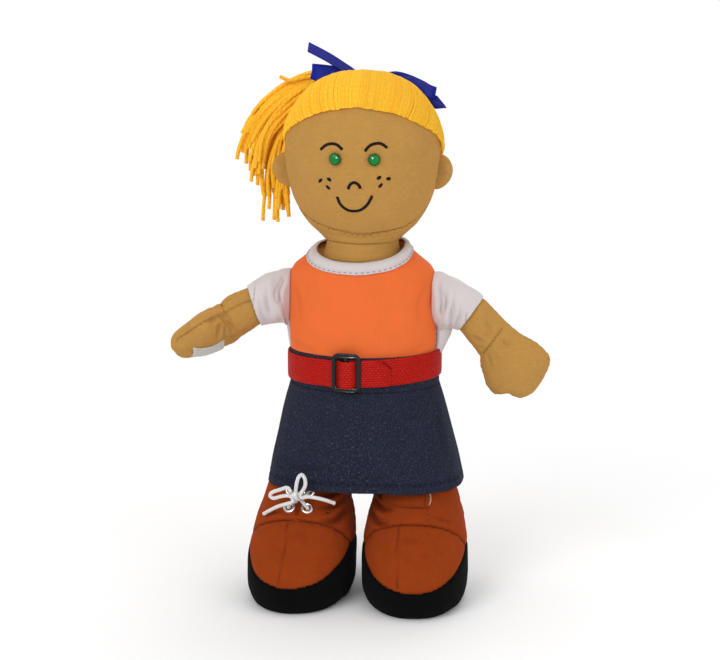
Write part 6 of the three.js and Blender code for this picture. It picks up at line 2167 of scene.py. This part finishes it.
class DOLL_OT_boots(bpy.types.Operator):
    """Makes the legs and the boots: soles, toe caps, quarters, the tongue, the eyelets and the strap"""

    bl_idname = "doll.boots"
    bl_label = "Legs and boots"

    def execute(self, context):
        for name, side in (("right", -1), ("left", 1)):
            self.make_leg(name, side)
            self.make_boot(name, side)
        self.make_tongue()
        self.make_eyelets()
        self.make_band("left_boot_strap_cloth", STRAP, "suede", "boot_strap", "rust_suede", "left_boot_strap")
        patch = self.make_band(
            "left_boot_loop_patch", STRAP_PATCH, "tape", "left_leg", "white_loop_tape",
            "left_boot_strap_patch",
        )
        ripple(patch, 0.2, 1.5, 61)
        return {"FINISHED"}

    def make_leg(self, name, side):
        rings = []
        for z in np.concatenate([(46.2, 47), np.linspace(49, 139.5, 56)]):
            wide, deep, x = read_rows(LEG, [z])[0]
            size = 0.96 if z < 46.5 else 1.0
            rings.append(level_ring((side * x, 0, z), wide * size, deep * size, turn_angles(72)))
        leg = shaped(f"{name}_leg_stuffed", rings, "skin")
        ripple(leg, 0.5, 18, 71 + side, mask=lambda p: (p[:, 2] > 94) * 1.0)
        settled(leg, f"{name}_leg", "skin_cloth", f"{name}_leg")

    def boot_body(self, name, side):
        """The whole boot in one closed sheet, cut along its seam lines and creased, before it is parted."""
        angles = turn_angles(132)
        rings = []
        rows = [(0.0, share) for share in (0.15, 0.4, 0.65, 0.85, 0.96)]
        rows += [(z, 1.0) for z in np.concatenate([(0.0, 0.5, 1.2, 2.0), np.linspace(3, BOOT_TOP, 84)])]
        for z, share in rows:
            middle, half_long, half_wide = boot_row(z)
            rings.append(level_ring(
                (0, middle, z), half_wide * share, half_long * share, angles, BOOT_SQUARENESS,
            ))
        body = grid_object(f"{name}_boot_body", boot_to_doll(np.array(rings), side), poles=(True, False))
        mesh = bmesh.new()
        mesh.from_mesh(body.data)
        (sy0, sz0), (sy1, sz1) = SOLE_LINE
        (cy0, cz0), (cy1, cz1) = CAP_LINE
        planes = [((0, sy0, sz0), (0, -(sz1 - sz0), sy1 - sy0)), ((0, sy1, sz1), (0, 0, 1))]
        planes.append(((0, cy0, cz0), (0, cz0 - cz1, cy1 - cy0)))
        if side < 0:
            rise, run = BOOT_TOP - SLIT["bottom"], SLIT["top"] - SLIT["tip"]
            planes += [((s * SLIT["tip"], 0, SLIT["bottom"]), (s * rise, 0, -run)) for s in (-1, 1)]
            planes.append(((0, 0, SLIT["bottom"]), (0, 0, 1)))
        for point, normal in planes:
            spot = place(boot_to_doll(np.array(point), side))
            way = unit(boot_direction(np.array(normal, float), side))
            geometry = list(mesh.verts) + list(mesh.edges) + list(mesh.faces)
            bmesh.ops.bisect_plane(mesh, geom=geometry, dist=1e-6, plane_co=tuple(spot), plane_no=tuple(way))
        mesh.to_mesh(body.data)
        mesh.free()
        return body

    def region_of(self, centres, side):
        """Which piece each place belongs to: 0 the sole, 1 the toe cap, 2 the quarter, 3 the open slit."""
        z = centres[:, 2]
        sole, cap = self.past_seams(centres)
        half = SLIT["tip"] + (z - SLIT["bottom"]) * (SLIT["top"] - SLIT["tip"]) / (BOOT_TOP - SLIT["bottom"])
        slit = (side < 0) & (z > SLIT["bottom"]) & (np.abs(centres[:, 0]) < half) & (centres[:, 1] < 0)
        return np.where(sole < 0, 0, np.where(slit, 3, np.where(cap < 0, 1, 2)))

    def past_seams(self, points):
        """How far each place is above the sole's upper edge, and behind the toe cap's edge."""
        y, z = points[:, 1], points[:, 2]
        (sy0, sz0), (sy1, sz1) = SOLE_LINE
        (cy0, cz0), (cy1, cz1) = CAP_LINE
        slant = (z - sz0 - (y - sy0) * (sz1 - sz0) / (sy1 - sy0)) * math.cos(math.atan2(sz1 - sz0, sy1 - sy0))
        cap = (y - cy0 - (cz0 - z) * (cy1 - cy0) / (cz0 - cz1)) * math.cos(math.atan2(cy1 - cy0, cz0 - cz1))
        return np.where(y < sy1, slant, z - sz1), cap

    def make_boot(self, name, side):
        body = self.boot_body(name, side)
        points, normals = read_points(body)
        local = doll_to_boot(points, side)
        sole, cap = self.past_seams(local)
        above = sole > -0.01
        move = -0.7 * np.exp(-(sole / 1.3) ** 2) - 0.5 * np.exp(-(sole / 4) ** 2) * above
        gathers = np.sin(local[:, 0] * 2 * math.pi / 5.2 + 1.1 * np.sin(local[:, 0] * 0.31))
        move += above * (-0.9 * np.exp(-(cap / 1.2) ** 2) - 0.5 * np.exp(-(cap / 4.5) ** 2))
        move += above * 0.32 * gathers * np.exp(-(cap / 4.0) ** 2)
        move -= 0.18 * np.exp(-(local[:, 2] / 6.0) ** 2)
        write_points(body, points + normals * move[:, None])
        # Painted shade along the toe cap's and the sole's seams
        shade = np.maximum(0.7 * np.exp(-(cap / 0.9) ** 2), 0.5 * np.exp(-(sole / 1.2) ** 2))
        shade_seam(body, shade * above)
        line, _ = seated(surface_of(body), smooth_path(BOOT_CENTRE_SEAM[side], 24))
        press_seam(body, line, 0.45 if side < 0 else 0.25, 1.0, pucker=0.12, spacing=6)

        def spot(x, z):
            return boot_to_doll(boot_front(x, z)[0], side)

        folds = [
            ([spot(-side * x, z) for x, z in line], depth, width) for line, depth, width in BOOT_FOLDS
        ]
        for level, reach in BOOT_SIDE_FOLDS:
            middle, half_long, half_wide = boot_row(level)
            for way in (-1, 1):
                line = [
                    (way * half_wide * 0.98, middle + 2, level),
                    (way * half_wide * 0.72, middle + half_long * 0.7, level - 1.5),
                    (way * (half_wide * 0.72 - reach), middle + half_long * 0.96, level + 1),
                ]
                folds.append((boot_to_doll(line, side), 1.0, 2.0))
        press_folds(body, folds, 0.36)
        ripple(body, 0.45, 15, 81 + side)
        region = self.region_of(doll_to_boot(face_centres(body), side), side)
        surface = surface_of(body)
        pieces = (
            ("sole", "felt", "black_felt"), ("toe_cap", "suede", "rust_suede"),
            ("quarter", "suede", "rust_suede"),
        )
        for number, (part, colour, slot) in enumerate(pieces):
            piece = part_of(body, f"{name}_boot_{part}_cloth", region == number)
            thickened(piece, 2.2 if number == 0 else 1.5)
            painted(piece, finish(colour))
            settled(piece, f"{name}_leg", slot, f"{name}_boot_{part}")
        bpy.data.objects.remove(body)
        if side > 0:
            seam_stitches(
                "left_boot_side_stitches", surface, [np.array(STRAP_SEAM)], "rust_thread", "left_leg",
                "rust_suede", length=2.0,
            )

    def make_tongue(self):
        rows = []
        for z in np.linspace(61.5, 91.5, 28):
            half = 2.4 + 5.4 * (z - 61.5) / 30
            rows.append([boot_front(x, z, -1.9)[0] for x in np.linspace(-half, half, 16)])
        tongue = grid_object("right_boot_tongue_cloth", boot_to_doll(np.array(rows), -1), closed=False)
        _, normals = read_points(tongue)
        if normals[:, 1].mean() > 0:
            tongue.data.flip_normals()
        ripple(tongue, 0.4, 8, 91)
        thickened(tongue, 1.3)
        painted(tongue, finish("suede"))
        settled(tongue, "right_leg", "rust_suede", "right_boot_tongue")

    def make_eyelets(self):
        spots, outward = [], []
        for x, z in EYELETS:
            point, out = boot_front(x, z)
            spots.append(boot_to_doll(point - out * 0.1, -1))
            outward.append(boot_direction(out, -1))
        made = lines_object("boot_eyelets", [[spot] for spot in spots], [np.array([out]) for out in outward])
        made = grown(
            made, "Eyelets", finish("steel"), outer_radius=EYELET["outer"] * MM,
            bore_radius=EYELET["bore"] * MM, barrel_depth=EYELET["depth"] * MM,
        )
        settled(made, "right_leg", "steel", "eyelet_1", "eyelet_2", "eyelet_3", "eyelet_4")

    def make_band(self, name, band, colour, body, slot, node):
        """A strip that follows the front of the left boot, with rounded corners at its free end."""
        rings = []
        half, thick = band["width"] / 2, band["thickness"]
        for x in np.linspace(band["from"], band["to"], 64):
            left = band["to"] - x
            tall = half if left > 3 else half - 3 + math.sqrt(max(0.0, 9 - (3 - left) ** 2))
            top, low = [], []
            for share in np.linspace(-1, 1, 13):
                z = band["z"] + share * tall
                inside, out = boot_front(x, z, band["inside"])
                edge = 1 - 0.5 * abs(share) ** 6
                middle = inside + out * thick / 2
                top.append(middle + out * thick / 2 * edge)
                low.append(middle - out * thick / 2 * edge)
            rings.append(np.array(top + low[::-1]))
        strip = shaped(name, boot_to_doll(rings, 1), colour)
        settled(strip, body, slot, node)
        if colour == "suede":
            edge = [boot_front(x, band["z"] - 3.7, 2.9)[0] for x in np.linspace(-22.5, 7.5, 30)]
            edge += [boot_front(x, band["z"] + 3.7, 2.9)[0] for x in np.linspace(7.5, -22.5, 30)]
            path = boot_to_doll(np.array(edge), 1)
            press_seam(strip, path, 0.3, 0.6)
            seam_stitches(
                "boot_strap_stitches", surface_of(strip), [path], "rust_thread", body, slot, spacing=3.2,
                length=2.0, width=0.6, height=0.5,
            )
        return strip


class DOLL_OT_stage(bpy.types.Operator):
    """Sets the pale floor, the white background and the soft studio lamps"""

    bl_idname = "doll.stage"
    bl_label = "Stage"

    def execute(self, context):
        scene = context.scene
        scene.view_settings.view_transform = "Standard"
        bpy.ops.mesh.primitive_plane_add(size=12)
        floor = context.active_object
        floor.name = "studio_floor"
        painted(floor, finish("paper"))

        world = bpy.data.worlds.new("studio")
        scene.world = world
        world.use_nodes = True
        tree = world.node_tree
        tree.nodes.clear()
        path = add(tree, "ShaderNodeLightPath")
        seen = path.outputs["Is Camera Ray"]
        for ray in ("Is Glossy Ray", "Is Transmission Ray"):
            seen = add(tree, "ShaderNodeMath", {0: seen, 1: path.outputs[ray]}, operation="MAXIMUM")
        strength = add(tree, "ShaderNodeMix", {0: seen, 2: WORLD_LIGHT, 3: 1.0}, data_type="FLOAT")
        light = add(tree, "ShaderNodeBackground", {"Color": (1, 1, 1, 1), "Strength": strength})
        add(tree, "ShaderNodeOutputWorld", {"Surface": light})
        for name, (spot, size, power) in LAMPS.items():
            lamp = bpy.data.lights.new(name, "AREA")
            lamp.size, lamp.energy = size, power
            obj = bpy.data.objects.new(name, lamp)
            scene.collection.objects.link(obj)
            obj.location = spot
            obj.visible_diffuse = name != "glint"
            obj.rotation_euler = (Vector(LAMP_AIM) - Vector(spot)).to_track_quat("-Z", "Y").to_euler()
        return {"FINISHED"}


class DOLL_PT_parts(bpy.types.Panel):
    """Lists the doll's pieces, with its sizes and colours"""

    bl_idname = "DOLL_PT_parts"
    bl_label = "Practice doll"
    bl_space_type = "VIEW_3D"
    bl_region_type = "UI"
    bl_category = "Doll"

    def draw(self, context):
        for operator in OPERATORS:
            self.layout.operator(operator.bl_idname)
        for group in (context.scene.doll_sizes, context.scene.doll_colours):
            column = self.layout.column()
            for key in group.__annotations__:
                column.prop(group, key)


OPERATORS = (
    DOLL_OT_camera, DOLL_OT_laces, DOLL_OT_head, DOLL_OT_hair, DOLL_OT_top, DOLL_OT_skirt, DOLL_OT_belt,
    DOLL_OT_arms, DOLL_OT_boots, DOLL_OT_stage,
)
CLASSES = (DollSizes, DollColours, *OPERATORS, DOLL_PT_parts)


def register():
    for made in CLASSES:
        bpy.utils.register_class(made)
    bpy.types.Scene.doll_sizes = bpy.props.PointerProperty(type=DollSizes)
    bpy.types.Scene.doll_colours = bpy.props.PointerProperty(type=DollColours)


def unregister():
    del bpy.types.Scene.doll_colours
    del bpy.types.Scene.doll_sizes
    for made in reversed(CLASSES):
        bpy.utils.unregister_class(made)


def main():
    register()
    for operator in OPERATORS:
        group, name = operator.bl_idname.split(".")
        getattr(getattr(bpy.ops, group), name)()


if __name__ == "__main__":
    main()
